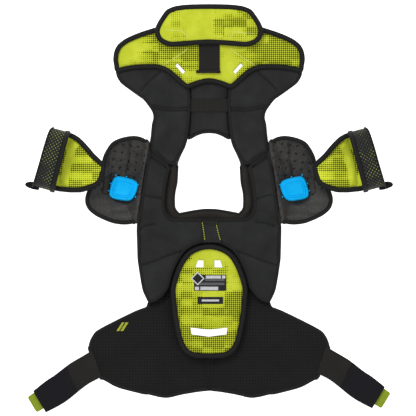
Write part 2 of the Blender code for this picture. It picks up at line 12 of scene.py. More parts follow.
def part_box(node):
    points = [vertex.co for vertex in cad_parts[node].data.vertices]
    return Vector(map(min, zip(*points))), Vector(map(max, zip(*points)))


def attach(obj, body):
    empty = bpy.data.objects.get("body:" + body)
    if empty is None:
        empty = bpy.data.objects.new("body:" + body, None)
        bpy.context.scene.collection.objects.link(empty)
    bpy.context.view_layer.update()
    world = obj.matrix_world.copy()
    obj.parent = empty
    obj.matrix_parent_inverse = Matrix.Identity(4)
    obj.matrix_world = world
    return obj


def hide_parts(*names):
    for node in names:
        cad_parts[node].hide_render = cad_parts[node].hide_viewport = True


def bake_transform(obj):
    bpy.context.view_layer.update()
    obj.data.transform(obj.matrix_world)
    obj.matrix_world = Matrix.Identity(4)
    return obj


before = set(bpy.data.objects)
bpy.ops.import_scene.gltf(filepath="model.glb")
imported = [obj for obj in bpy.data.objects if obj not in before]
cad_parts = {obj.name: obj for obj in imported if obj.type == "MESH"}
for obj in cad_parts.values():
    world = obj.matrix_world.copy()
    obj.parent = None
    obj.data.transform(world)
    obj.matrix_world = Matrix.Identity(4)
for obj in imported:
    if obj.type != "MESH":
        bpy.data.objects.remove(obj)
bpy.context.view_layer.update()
MM = 0.001
SIDES = {"left": 1, "right": -1}
PRINT_SHIFT = (1.2, -1.1, 0.0)
LIME_BRIGHT = (0.545, 0.605, 0.036)
LIME_DEEP = (0.440, 0.500, 0.018)
BLACK = (0.0106, 0.0108, 0.0115)


def top_of(node):
    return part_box(node)[1].z / MM


def bottom_of(node):
    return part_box(node)[0].z / MM


LINER_TOP = top_of("back_liner")
LINER_BOTTOM = bottom_of("back_liner")
REAR_FOLD = (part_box("back_liner")[1].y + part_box("yoke_liner_left")[0].y) / 2 / MM
FRONT_FOLD = (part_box("yoke_liner_left")[1].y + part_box("chest_carrier")[0].y) / 2 / MM
YOKE_ARCH = top_of("yoke_liner_left") - LINER_TOP
WING_HINGE = (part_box("belt_center")[1].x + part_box("kidney_wing_left")[0].x) / 2 / MM


# ---------------------------------------------------------------- camera and light

def add_camera():
    data = bpy.data.cameras.new("camera")
    data.lens = 400
    data.sensor_width = 36
    data.clip_end = 20
    camera = bpy.data.objects.new("camera", data)
    span = 0.9152
    camera.location = (-0.0023, 0.0000, span * data.lens / data.sensor_width + 0.03)
    bpy.context.scene.collection.objects.link(camera)
    bpy.context.scene.camera = camera


def add_light(name, place, energy, size):
    """A square lamp that faces the middle of the floor."""
    data = bpy.data.lights.new(name, "AREA")
    data.energy = energy
    data.size = size
    lamp = bpy.data.objects.new(name, data)
    lamp.location = place
    bpy.context.scene.collection.objects.link(lamp)
    lamp.rotation_euler = (-lamp.location).to_track_quat("-Z", "Y").to_euler()


def add_studio():
    world = bpy.data.worlds.new("studio")
    world.use_nodes = True
    world.node_tree.nodes["Background"].inputs["Color"].default_value = (1, 1, 1, 1)
    world.node_tree.nodes["Background"].inputs["Strength"].default_value = 0.75
    bpy.context.scene.world = world
    bpy.context.scene.view_settings.view_transform = "Standard"
    add_light("key", (-0.9, 1.5, 2.2), 34, 1.0)
    add_light("fill", (1.8, -1.2, 1.8), 12, 1.6)
    mesh = bpy.data.meshes.new("floor")
    half = 6.0
    mesh.from_pydata([(-half, -half, 0), (half, -half, 0), (half, half, 0), (-half, half, 0)], [],
                     [(0, 1, 2, 3)])
    floor = bpy.data.objects.new("floor", mesh)
    floor.location.z = -0.0005
    bpy.context.scene.collection.objects.link(floor)
    material = bpy.data.materials.new("floor_white")
    material.use_nodes = True
    shader = material.node_tree.nodes["Principled BSDF"]
    shader.inputs["Base Color"].default_value = (0.93, 0.93, 0.93, 1)
    shader.inputs["Roughness"].default_value = 0.9
    shader.inputs["Emission Color"].default_value = (1, 1, 1, 1)
    shader.inputs["Emission Strength"].default_value = 0.95
    mesh.materials.append(material)


# ---------------------------------------------------------------- shader nodes

class Shader:
    """Builds one procedural material. Patterns follow the "rest" attribute: a point's place at rest, in
    mm."""

    def __init__(self, name, on_node=False):
        self.on_node = on_node
        self.material = bpy.data.materials.new(name)
        self.material.use_nodes = True
        self.tree = self.material.node_tree
        self.surface = self.tree.nodes["Principled BSDF"]
        self.height = None

    def node(self, kind, values=(), **settings):
        made = self.tree.nodes.new(kind)
        for key, value in settings.items():
            setattr(made, key, value)
        for key, value in dict(values).items():
            self.give(made.inputs[key], value)
        return made

    def give(self, socket, value):
        if isinstance(value, bpy.types.NodeSocket):
            self.tree.links.new(value, socket)
        else:
            socket.default_value = value

    def math(self, operation, a, b=0.0, c=0.0):
        made = self.node("ShaderNodeMath", operation=operation)
        for socket, value in zip(made.inputs, (a, b, c)):
            self.give(socket, value)
        return made.outputs[0]

    def attribute(self, name):
        return self.node("ShaderNodeAttribute", attribute_name=name)

    def rest(self):
        """The place at rest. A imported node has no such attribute, and takes its own coordinates."""
        if self.on_node:
            place = self.node("ShaderNodeTexCoord").outputs["Object"]
            return self.node("ShaderNodeVectorMath", {0: place, 1: (1000, 1000, 1000)},
                             operation="MULTIPLY").outputs[0]
        return self.attribute("rest").outputs["Vector"]

    def parts(self, vector):
        return self.node("ShaderNodeSeparateXYZ", {"Vector": vector}).outputs

    def noise(self, size, detail=2.0, vector=None, roughness=0.5):
        """Noise from 0 to 1 whose features are about size millimetres."""
        made = self.node("ShaderNodeTexNoise", {"Scale": 1.0 / size, "Detail": detail,
                                                "Roughness": roughness})
        self.give(made.inputs["Vector"], self.rest() if vector is None else vector)
        return made.outputs["Fac"]

    def ramp(self, value, low, high, out_low=0.0, out_high=1.0):
        made = self.node("ShaderNodeMapRange", {"Value": value, "From Min": low, "From Max": high,
                                                "To Min": out_low, "To Max": out_high})
        return made.outputs["Result"]

    def mix(self, share, a, b):
        made = self.node("ShaderNodeMix", data_type="RGBA")
        self.give(made.inputs["Factor"], share)
        for socket, value in ((made.inputs[6], a), (made.inputs[7], b)):
            self.give(socket, (*value, 1) if isinstance(value, tuple) else value)
        return made.outputs[2]

    def wave(self, value, pitch):
        return self.math("SINE", self.math("MULTIPLY", value, 2 * math.pi / pitch))

    def weave(self, x, y, pitch_x, pitch_y):
        """Bumps from 0 to 1 where two sets of threads cross."""
        return self.ramp(self.math("MULTIPLY", self.wave(x, pitch_x), self.wave(y, pitch_y)), -1, 1)

    def add_height(self, value, distance):
        """Adds a relief of the value, from 0 to 1, times distance in millimetres."""
        grown = self.math("MULTIPLY", value, distance * MM)
        self.height = grown if self.height is None else self.math("ADD", self.height, grown)

    def finish(self, colour, roughness, sheen=0.0, specular=0.5, bump=1.0):
        self.give(self.surface.inputs["Base Color"], (*colour, 1) if isinstance(colour, tuple) else colour)
        self.give(self.surface.inputs["Roughness"], roughness)
        self.surface.inputs["Sheen Weight"].default_value = sheen
        self.surface.inputs["Sheen Roughness"].default_value = 0.5
        self.surface.inputs["Specular IOR Level"].default_value = specular
        if self.height is not None:
            made = self.node("ShaderNodeBump", {"Height": self.height, "Strength": bump, "Distance": 1.0})
            self.give(self.surface.inputs["Normal"], made.outputs["Normal"])
        return self.material


def scaled(colour, share):
    return tuple(c * share for c in colour)


def knit(shader, pitch):
    """The height of a knit's loops: bumps in a brick lattice of this pitch."""
    x, y, _ = shader.parts(shader.rest())
    return shader.weave(x, y, pitch, pitch / 1.35)


def foam_jersey(name, colour, pitch=1.1):
    """Brushed jersey laminated to foam: soft mottling, fine loops and a little fuzz."""
    s = Shader(name)
    mottle = s.noise(38, 3)
    fine = s.noise(1.6, 2)
    dark, light = (scaled(colour, share) for share in (0.72, 1.32))
    tint = s.mix(s.ramp(mottle, 0.3, 0.7), dark, light)
    tint = s.mix(s.ramp(fine, 0.35, 0.75, 0, 0.45), tint, scaled(colour, 1.9))
    s.add_height(knit(s, pitch), 0.10)
    s.add_height(fine, 0.22)
    s.add_height(s.noise(14, 3), 0.7)
    return s.finish(tint, s.ramp(mottle, 0.2, 0.8, 0.86, 0.7), sheen=0.03, specular=0.22)


def dot_distance(s, vector, pitch_x, pitch_y, stagger=False):
    """The distance in millimetres to the nearest dot of a lattice, and the cell's own two numbers."""
    x, y, _ = s.parts(vector)
    row = s.math("FLOOR", s.math("DIVIDE", y, pitch_y))
    if stagger:
        x = s.math("ADD", x, s.math("MULTIPLY", s.math("FLOORED_MODULO", row, 2.0), pitch_x / 2))
    column = s.math("FLOOR", s.math("DIVIDE", x, pitch_x))
    from_x = s.math("MULTIPLY", s.math("SUBTRACT", s.math("FRACT", s.math("DIVIDE", x, pitch_x)), 0.5),
                    pitch_x)
    from_y = s.math("MULTIPLY", s.math("SUBTRACT", s.math("FRACT", s.math("DIVIDE", y, pitch_y)), 0.5),
                    pitch_y)
    both = s.node("ShaderNodeCombineXYZ", {"X": from_x, "Y": from_y})
    far = s.node("ShaderNodeVectorMath", {0: both.outputs[0]}, operation="LENGTH")
    return far.outputs["Value"], column, row


def block_value(s, column, row, wide, high, seed):
    """One random number for each block of wide by high cells."""
    x = s.math("FLOOR", s.math("DIVIDE", s.math("ADD", column, seed), wide))
    y = s.math("FLOOR", s.math("DIVIDE", s.math("ADD", row, seed * 0.7), high))
    spot = s.node("ShaderNodeCombineXYZ", {"X": x, "Y": y, "Z": float(seed)})
    return s.node("ShaderNodeTexWhiteNoise", {"Vector": spot.outputs[0]}).outputs["Value"]


PRINT_PITCH = 4.4


def lime_print(name, light=1.0):
    """Lime knit printed with a halftone: black dots whose size steps from block to block."""
    s = Shader(name)
    vector = s.node("ShaderNodeVectorMath", {0: s.rest(), 1: PRINT_SHIFT}, operation="ADD").outputs[0]
    far, column, row = dot_distance(s, vector, PRINT_PITCH, PRINT_PITCH)
    # The "print" attribute sets the dot size; on the guards it also carries a painted shade crescent.
    density = s.attribute("print").outputs["Fac"]
    broad = block_value(s, column, row, 11.0, 4.0, 3)
    small = block_value(s, column, row, 5.0, 2.0, 8)
    streak = block_value(s, column, row, 16.0, 1.0, 5)
    size = s.math("ADD", s.math("MULTIPLY", broad, 0.6), s.math("MULTIPLY", small, 0.34))
    size = s.math("ADD", size, s.math("MULTIPLY", streak, 0.06))
    size = s.math("ADD", s.math("SUBTRACT", size, 0.5), density)
    radius = s.ramp(size, 0.05, 0.85, 0.0, PRINT_PITCH * 0.45)
    dot = s.ramp(s.math("SUBTRACT", radius, far), -0.12, 0.22)
    dot = s.math("MULTIPLY", dot, s.ramp(radius, 0.25, 0.5))
    mottle = s.noise(30, 2)
    # light scales the lime base; above 1 it is painted light, as on the guards' brighter copy.
    lime = s.mix(s.ramp(mottle, 0.3, 0.7), scaled(LIME_DEEP, light), scaled(LIME_BRIGHT, light))
    lime = s.mix(s.ramp(s.noise(1.3, 1), 0.4, 0.8, 0, 0.3), lime, LIME_DEEP)
    tint = s.mix(s.math("MULTIPLY", dot, 0.93), lime, (0.020, 0.020, 0.008))
    s.add_height(knit(s, 1.2), 0.09)
    s.add_height(s.noise(16, 3), 0.5)
    return s.finish(tint, 0.78, sheen=0.03, specular=0.22)


def plain_knit(name, colour, hole_pitch=9.6, hole=0.75):
    """Warp-knit mesh over foam, with a regular lattice of small holes."""
    s = Shader(name)
    far, _, _ = dot_distance(s, s.rest(), hole_pitch, hole_pitch)
    hole_shade_mask = s.ramp(far, hole + 0.5, hole - 0.3)
    mottle = s.noise(45, 3)
    fine = s.noise(1.4, 2)
    tint = s.mix(s.ramp(mottle, 0.3, 0.7), scaled(colour, 0.75), scaled(colour, 1.3))
    tint = s.mix(s.ramp(fine, 0.35, 0.75, 0, 0.5), tint, scaled(colour, 2.1))
    # Painted shade: each hole turns near black, the shade inside it.
    tint = s.mix(hole_shade_mask, tint, (0.0008, 0.0008, 0.0008))
    s.add_height(s.ramp(far, 0, hole * 2.4), 0.6)
    s.add_height(knit(s, 1.0), 0.12)
    s.add_height(fine, 0.25)
    return s.finish(tint, 0.82, sheen=0.03, specular=0.2)


def ribbed_tape(name, colour, pitch=2.1, depth=0.35, key="along", edge_shade=False):
    """Elastic tape whose ribs cross its length, by the "along" attribute in millimetres. When its edges are
    shaded, painted shade darkens both edges by the "across" attribute and leaves a lighter middle line, a
    painted highlight; the binding rolled round a raw edge uses this."""
    s = Shader(name)
    along = s.attribute(key).outputs["Fac"]
    rib = s.ramp(s.wave(along, pitch), -1, 1)
    tint = s.mix(rib, scaled(colour, 0.6), scaled(colour, 1.5))
    tint = s.mix(s.ramp(s.noise(25, 2), 0.35, 0.7, 0, 0.5), tint, scaled(colour, 1.7))
    if edge_shade:
        # Painted shade: the tape darkens to a tenth of its colour towards both edges, so its middle reads as a
        # painted highlight.
        across = s.math("ABSOLUTE", s.attribute("across").outputs["Fac"])
        tint = s.mix(s.ramp(across, 1.7, 3.6), tint, scaled(colour, 0.1))
    s.add_height(rib, depth)
    s.add_height(s.noise(1.1, 1), 0.15)
    return s.finish(tint, 0.72, sheen=0.03, specular=0.25)


def hook_pile(name, colour):
    """Hook and loop pile: a dense, rough nap."""
    s = Shader(name)
    tuft = s.noise(0.9, 3, roughness=0.7)
    tint = s.mix(s.ramp(tuft, 0.35, 0.7), scaled(colour, 0.45), scaled(colour, 1.9))
    s.add_height(tuft, 0.7)
    return s.finish(tint, 0.95, sheen=0.03, specular=0.25)


def dotted_mesh(name):
    """Black spacer mesh with lime dots in a diagonal lattice, set out by the "weave" attribute."""
    s = Shader(name)
    vector = s.attribute("weave").outputs["Vector"]
    far, _, _ = dot_distance(s, vector, 8.8, 4.4, stagger=True)
    fade = s.ramp(s.noise(30, 2), 0.42, 0.62, 0.12, 0.85)
    dot = s.math("MULTIPLY", s.ramp(far, 1.35, 0.85), fade)
    ground = s.mix(s.ramp(s.noise(1.2, 2), 0.35, 0.7), (0.004, 0.004, 0.006), (0.018, 0.019, 0.022))
    tint = s.mix(dot, ground, (0.36, 0.42, 0.07))
    s.add_height(s.ramp(far, 0.4, 1.8, 1, 0), 0.4)
    s.add_height(s.noise(1.2, 2), 0.3)
    return s.finish(tint, 0.75, sheen=0.03, specular=0.22)


def woven_tape(name, colour, pitch=1.5):
    """Plain-woven tape or thread, set out by the "weave" attribute."""
    s = Shader(name)
    x, y, _ = s.parts(s.attribute("weave").outputs["Vector"])
    weave = s.weave(x, y, pitch, pitch * 1.6)
    tint = s.mix(weave, scaled(colour, 0.55), scaled(colour, 1.35))
    tint = s.mix(s.ramp(s.noise(9, 2), 0.35, 0.7, 0, 0.4), tint, scaled(colour, 0.7))
    s.add_height(weave, 0.3)
    return s.finish(tint, 0.7, sheen=0.03, specular=0.25)


def moulded_foam(name, colour):
    """Closed-cell foam with a skinned, faintly pebbled face and a lattice of perforations. Painted highlight
    lightens its raised pebbles and broad bumps, and painted shade darkens the perforations.
    """
    s = Shader(name)
    pebble_and_highlight = s.noise(2.4, 4, roughness=0.65)
    broad = s.noise(16, 3)
    turned = s.node("ShaderNodeMapping", {"Vector": s.rest(), "Rotation": (0, 0, 0.14)}).outputs[0]
    far, _, _ = dot_distance(s, turned, 16.5, 17.0)
    height = s.node("ShaderNodeSeparateXYZ", {"Vector": s.rest()}).outputs["Y"]
    far = s.math("ADD", far, s.ramp(height, 30, 22, 0, 9))
    # The broad noise gives partly random tone and partly painted highlight: the foam is lighter where its
    # broad bumps rise.
    tint = s.mix(s.ramp(broad, 0.3, 0.7), scaled(colour, 0.35), scaled(colour, 1.7))
    # Painted highlight: the raised pebbles are lightened towards 2.8 times the colour.
    tint = s.mix(s.ramp(pebble_and_highlight, 0.42, 0.70, 0, 0.9), tint, scaled(colour, 2.8))
    # Painted shade: each perforation turns near black, the shade inside the hole.
    tint = s.mix(s.ramp(far, 2.5, 1.9), tint, (0.003, 0.003, 0.003))
    s.add_height(s.ramp(far, 1.6, 3.2), 1.6)
    s.add_height(pebble_and_highlight, 0.9)
    s.add_height(broad, 1.2)
    return s.finish(tint, s.ramp(pebble_and_highlight, 0.3, 0.7, 0.66, 0.42), specular=0.4)


def soft_rubber(name, colour):
    s = Shader(name)
    broad = s.noise(14, 2)
    tint = s.mix(s.ramp(broad, 0.3, 0.7), scaled(colour, 0.9), colour)
    s.add_height(s.noise(0.8, 2), 0.08)
    return s.finish(tint, s.ramp(broad, 0.2, 0.8, 0.62, 0.5), specular=0.12)


def hard_plastic(name, colour, on_node=False):
    s = Shader(name, on_node)
    grain = s.noise(0.9, 3)
    broad = s.noise(40, 3)
    tint = s.mix(s.ramp(broad, 0.35, 0.7), colour, scaled(colour, 1.5))
    s.add_height(grain, 0.12)
    return s.finish(tint, s.ramp(grain, 0.3, 0.7, 0.5, 0.38), specular=0.35)


def nylon(name, colour):
    """Plain-woven nylon that faces the foam carriers."""
    s = Shader(name)
    x, y, _ = s.parts(s.rest())
    weave = s.weave(x, y, 1.1, 1.1)
    tint = s.mix(s.ramp(s.noise(30, 3), 0.3, 0.7), scaled(colour, 0.8), scaled(colour, 1.4))
    tint = s.mix(weave, tint, scaled(colour, 1.6))
    s.add_height(weave, 0.12)
    return s.finish(tint, 0.7, sheen=0.03, specular=0.25)


def make_materials():
    return {
        "black_liner": foam_jersey("black_jersey", BLACK),
        "collar": foam_jersey("collar_fleece", (0.0135, 0.0118, 0.0098), pitch=1.8),
        "lime_liner": lime_print("lime_halftone"),
        # A brighter copy of the same halftone for the bicep guards: painted light that lifts their shaded
        # faces.
        "lime_lit_copy": lime_print("lime_halftone_lit_guard", light=1.22),
        "perforated_foam": moulded_foam("perforated_foam", (0.0168, 0.0156, 0.0138)),
        # The binding's edges get painted shade and its middle a painted highlight.
        "binding_tape": ribbed_tape("ribbed_binding", (0.0040, 0.0038, 0.0036), edge_shade=True),
        "knit_mesh": plain_knit("belt_knit", (0.0056, 0.0051, 0.0050), hole_pitch=6.6, hole=1.5),
        "elastic": ribbed_tape("ribbed_elastic", (0.0050, 0.0046, 0.0040), pitch=5.2, depth=0.5,
                               key="across"),
        "hook_tape": hook_pile("hook_pile", (0.0052, 0.0052, 0.0075)),
        "strap_mesh": dotted_mesh("spacer_mesh"),
        "lime_webbing": woven_tape("lime_webbing", (0.25, 0.33, 0.012)),
        "blue_rubber": soft_rubber("blue_rubber", (0.0, 0.43, 0.88)),
        "black_plastic": hard_plastic("black_plastic_node", (0.018, 0.018, 0.020), on_node=True),
        "black_plastic_visual": hard_plastic("black_plastic", (0.018, 0.018, 0.020)),
        "elastic_long": ribbed_tape("belly_elastic", (0.0058, 0.0052, 0.0042), pitch=3.0, depth=0.25,
                                    key="across"),
        "elastic_plain": woven_tape("strap_nylon", (0.0062, 0.0054, 0.0046), pitch=1.5),
        "elastic_pale": ribbed_tape("pale_webbing", (0.030, 0.027, 0.023), pitch=3.0, depth=0.3,
                                    key="across"),
        "label_grey": woven_tape("grey_label", (0.10, 0.10, 0.105), pitch=1.4),
        "eva_foam": nylon("carrier_nylon", (0.010, 0.0095, 0.009)),
        "stitch_black": woven_tape("black_thread", (0.010, 0.010, 0.010), pitch=0.6),
        "stitch_lime": woven_tape("lime_thread", (0.42, 0.46, 0.045), pitch=0.6),
        "lime_line": woven_tape("pale_print", (0.66, 0.70, 0.22), pitch=0.8),
        "label": woven_tape("pale_label", (0.62, 0.63, 0.64), pitch=0.8),
        "label_dark": woven_tape("dark_label", (0.012, 0.012, 0.014), pitch=0.8),
    }


# ---------------------------------------------------------------- outlines

def catmull(points, pitch, before=None, after=None):
    """Points about pitch apart on a curve through the given ones."""
    guide = [before if before is not None else 2 * points[0] - points[1], *points]
    guide.append(after if after is not None else 2 * points[-1] - points[-2])
    found = []
    for p, q, r, s in zip(guide, guide[1:], guide[2:], guide[3:]):
        count = max(1, round(float(np.linalg.norm(r - q)) / pitch))
        t = (np.arange(count) / count)[:, None]
        found.append(0.5 * (2 * q + (r - p) * t + (2 * p - 5 * q + 4 * r - s) * t ** 2
                            + (3 * q - p - 3 * r + s) * t ** 3))
    return np.vstack([*found, points[-1][None]])


def curve(points, pitch=2.5):
    """A smooth open curve through given points."""
    return catmull([np.array(p, float) for p in points], pitch)


def joined(*runs, pitch=2.5):
    """A closed loop of smooth runs that meet at corners."""
    return np.vstack([curve(run, pitch)[:-1] for run in runs])


def polygon(corners, pitch=2.5):
    """A closed loop of straight sides."""
    return joined(*zip(corners, [*corners[1:], corners[0]]), pitch=pitch)


def mirrored_loop(loop):
    return (loop * (-1, 1))[::-1]


def sided(loop, side):
    return loop if side > 0 else mirrored_loop(loop)


def signed_area(loop):
    x, y = loop.T
    return 0.5 * float(np.sum(x * np.roll(y, -1) - np.roll(x, -1) * y))


def inset(loop, distance):
    """The closed loop moved inwards by distance, one number or one for each point. Below zero is
    outwards."""
    along = np.roll(loop, -1, 0) - np.roll(loop, 1, 0)
    along /= np.linalg.norm(along, axis=1)[:, None]
    inward = np.stack([-along[:, 1], along[:, 0]], 1) * np.sign(signed_area(loop))
    return loop + inward * np.reshape(distance, (-1, 1))


def smoothed(loop, times):
    """The closed loop with its corners rounded."""
    for _ in range(times):
        loop = (np.roll(loop, 1, 0) + 2 * loop + np.roll(loop, -1, 0)) / 4
    return loop


def loops_of(node, pitch=2.5):
    """The outlines of a CAD node's underside, outer one first, with points pitch apart."""
    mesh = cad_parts[node].data
    ids, places = {}, []
    index = []
    for vertex in mesh.vertices:
        key = tuple(round(c / MM, 2) for c in vertex.co)
        if key not in ids:
            ids[key] = len(places)
            places.append(key)
        index.append(ids[key])
    edges = set()
    for face in mesh.polygons:
        if face.normal.z < -0.3:
            corners = [index[v] for v in face.vertices]
            edges |= {(a, b) for a, b in zip(corners, corners[1:] + corners[:1])}
    following = {a: b for a, b in edges if (b, a) not in edges}
    loops = []
    while following:
        first = next(iter(sorted(following)))
        loop, here = [], first
        while here in following:
            loop.append(places[here][:2])
            here = following.pop(here)
        if len(loop) > 3:
            loops.append(refined(np.array(loop), pitch))
    return sorted(loops, key=lambda loop: -abs(signed_area(loop)))


CORNER = 40  # degrees: a sharper turn in an outline is kept as a corner


def refined(loop, pitch):
    """The closed loop with smooth stretches between its corners."""
    before, after = loop - np.roll(loop, 1, 0), np.roll(loop, -1, 0) - loop
    turn = np.abs(np.degrees(np.arctan2(before[:, 0] * after[:, 1] - before[:, 1] * after[:, 0],
                                        (before * after).sum(1))))
    corners = [i for i in range(len(loop)) if turn[i] > CORNER]
    if not corners:
        return catmull([*loop, loop[0]], pitch, loop[-1], loop[1])[:-1]
    runs = []
    for start, end in zip(corners, corners[1:] + [corners[0] + len(loop)]):
        runs.append(catmull([loop[i % len(loop)] for i in range(start, end + 1)], pitch)[:-1])
    return np.vstack(runs)


def distance_to(points, line, closed=True):
    """How far each point is from the line."""
    ends = np.roll(line, -1, 0) if closed else line[1:]
    starts = line if closed else line[:-1]
    run = ends - starts
    square = np.maximum((run ** 2).sum(1), 1e-9)
    found = []
    for part in np.array_split(points, max(1, len(points) // 3000)):
        away = part[:, None] - starts[None]
        t = np.clip((away * run).sum(2) / square, 0, 1)
        found.append(np.sqrt(((away - t[..., None] * run) ** 2).sum(2)).min(1))
    return np.concatenate(found)


def inside(points, loop):
    """Which points the loop goes round."""
    nxt = np.roll(loop, -1, 0)
    found = []
    for part in np.array_split(points, max(1, len(points) // 3000)):
        x, y = part[:, :1], part[:, 1:]
        crosses = (loop[:, 1] > y) != (nxt[:, 1] > y)
        rise = np.where(nxt[:, 1] == loop[:, 1], 1e-9, nxt[:, 1] - loop[:, 1])
        at = loop[:, 0] + (y - loop[:, 1]) * (nxt[:, 0] - loop[:, 0]) / rise
        found.append((crosses & (x < at)).sum(1) % 2 == 1)
    return np.concatenate(found)


# ---------------------------------------------------------------- meshes

def add_layer(piece, key, values):
    """Gives each point of a piece a further number or vector."""
    values = np.asarray(values, np.float32)
    kind, field = ("FLOAT_VECTOR", "vector") if values.ndim == 2 else ("FLOAT", "value")
    piece.data.attributes.new(key, kind, "POINT").data.foreach_set(field, values.ravel())


def rest_of(piece):
    values = np.zeros(len(piece.data.vertices) * 3, np.float32)
    piece.data.attributes["rest"].data.foreach_get("vector", values)
    return values.reshape(-1, 3)


def new_object(name, points, faces, material, layers=(), smooth=45):
    """An object from points in millimetres, with its "rest" attribute and any further ones."""
    points = np.asarray(points, float)
    mesh = bpy.data.meshes.new(name)
    mesh.from_pydata((points * MM).tolist(), [], faces)
    mesh.materials.append(MATERIALS[material])
    piece = bpy.data.objects.new(name, mesh)
    bpy.context.scene.collection.objects.link(piece)
    for key, values in {"rest": points, **dict(layers)}.items():
        add_layer(piece, key, values)
    mesh.shade_smooth()
    mesh.set_sharp_from_angle(angle=math.radians(smooth))
    return piece


def thinned(points, spacing):
    """The points less those closer than spacing to one kept before them, by a grid."""
    kept, cells = [], {}
    for point in points:
        cell = (int(point[0] // spacing), int(point[1] // spacing))
        near = [q for i in (-1, 0, 1) for j in (-1, 0, 1)
                for q in cells.get((cell[0] + i, cell[1] + j), ())]
        if all((point[0] - q[0]) ** 2 + (point[1] - q[1]) ** 2 >= spacing ** 2 for q in near):
            cells.setdefault(cell, []).append(point)
            kept.append(point)
    return np.array(kept)


def flat_mesh(loops, pitch, rings, creases, extra):
    """Triangles over the area between the loops, with finer ones by its edge and creases."""
    loops = [np.asarray(loop, float) for loop in loops]
    points = [np.vstack(loops)]
    low, high = loops[0].min(0), loops[0].max(0)
    special = [np.zeros((0, 2)), *([np.asarray(extra, float)] if len(extra) else [])]
    for loop in loops:
        sign = 1 if loop is loops[0] else -1
        special += [inset(loop, sign * ring) for ring in rings]
    for line in creases:
        along = np.gradient(line, axis=0)
        along /= np.linalg.norm(along, axis=1)[:, None]
        across = np.stack([-along[:, 1], along[:, 0]], 1)
        special += [line + across * offset for offset in (0, 1.3, -1.3, 3.2, -3.2)]
    special = np.vstack(special)
    rows = np.arange(low[1], high[1], pitch * 0.866)
    grid = []
    for i, y in enumerate(rows):
        xs = np.arange(low[0] + (i % 2) * pitch / 2, high[0], pitch)
        grid.append(np.column_stack([xs, np.full(len(xs), y)]))
    grid = np.vstack(grid)

    def fit(candidates, room):
        if not len(candidates):
            return candidates
        keep = inside(candidates, loops[0])
        for loop in loops[1:]:
            keep &= ~inside(candidates, loop)
        for loop in loops:
            keep &= distance_to(candidates, loop) > room
        return candidates[keep]

    special = thinned(fit(special, min([0.7, *[0.8 * r for r in rings]])), 0.95)
    grid = fit(grid, (max(rings) if rings else 0) + pitch * 0.4)
    if len(special) and len(grid):
        cells = {}
        for q in special:
            cells.setdefault((int(q[0] // pitch), int(q[1] // pitch)), []).append(q)
        limit = (0.55 * pitch) ** 2
        grid = np.array([p for p in grid if all(
            (p[0] - q[0]) ** 2 + (p[1] - q[1]) ** 2 > limit
            for i in (-1, 0, 1) for j in (-1, 0, 1)
            for q in cells.get((int(p[0] // pitch) + i, int(p[1] // pitch) + j), ()))]).reshape(-1, 2)
    points += [special, grid]
    edges, first = [], 0
    for loop in loops:
        edges += [(first + i, first + (i + 1) % len(loop)) for i in range(len(loop))]
        first += len(loop)
    flat, _, triangles, *_ = delaunay_2d_cdt([Vector(p) for p in np.vstack(points)], edges, [], 0, 1e-4)
    flat = np.array([tuple(p) for p in flat])
    triangles = np.array([tuple(t) for t in triangles])
    middle = flat[triangles].mean(1)
    keep = inside(middle, loops[0])
    for loop in loops[1:]:
        keep &= ~inside(middle, loop)
    triangles = triangles[keep]
    used, packed = np.unique(triangles, return_inverse=True)
    return flat[used], packed.reshape(-1, 3)


def border_of(triangles):
    sides = {(int(t[k]), int(t[(k + 1) % 3])) for t in triangles for k in range(3)}
    return [(a, b) for a, b in sorted(sides) if (b, a) not in sides]


def as_function(value):
    return value if callable(value) else (lambda x, y: np.full(len(x), float(value)))


def pad(name, material, loops, top, bottom, pitch=5.0, roll=5.0, crown=2.0, reach=25.0, creases=(),
        groove=1.8, groove_width=2.2, relief=None, extra=(), puff=0.0, pressure=2.0, density=None, butt=False):
    """A closed pad between the loops: rolled at its edge, crowned in the middle and sunk along its creases.

    puff is how far cloth simulation may swell it, in millimetres.
    butt is for a pad that meets its mirror image at x = 0, where its edge isn't rolled.
    """
    creases = [np.asarray(line, float) for line in creases]
    rings = [roll * share for share in (0.12, 0.35, 0.65, 1.0)]
    flat, triangles = flat_mesh(loops, pitch, rings, creases, extra)
    x, y = flat.T
    edge = np.min([distance_to(flat, loop[np.abs(loop[:, 0]) > 0.6] if butt else loop) for loop in loops],
                  axis=0)
    over = np.clip(edge / roll, 0, 1)
    high = as_function(top)(x, y) + crown * (1 - np.exp(-((edge / reach) ** 1.5)))
    rolled = 1 - np.sqrt(np.clip(1 - (1 - over) ** 2, 0, 1))
    high -= roll * 0.75 * rolled
    crease = np.full(len(flat), 1e3)
    for line in creases:
        crease = np.minimum(crease, distance_to(flat, line, closed=False))
    high -= groove * np.exp(-((crease / groove_width) ** 2))
    if relief is not None:
        high += relief(x, y)
    low = as_function(bottom)(x, y)
    low += np.minimum(roll * 0.5, 2.5) * rolled
    high = np.maximum(high, low + 0.8)
    count = len(flat)
    points = np.vstack([np.column_stack([flat, high]), np.column_stack([flat, low])])
    faces = [tuple(int(i) for i in t) for t in triangles]
    faces += [(int(c) + count, int(b) + count, int(a) + count) for a, b, c in triangles]
    faces += [(b, a, a + count, b + count) for a, b in border_of(triangles)]
    layers = {}
    if density is not None:
        layers["print"] = np.tile(density(x, y), 2)
    piece = new_object(name, points, faces, material, layers)
    if puff:
        free = (edge > roll * 0.5) & (crease > 1.5)
        inflate(piece, np.concatenate([free, np.zeros(count, bool)]), pressure, puff)
    return piece


SIM_FRAMES = 16  # enough for the pressure to settle


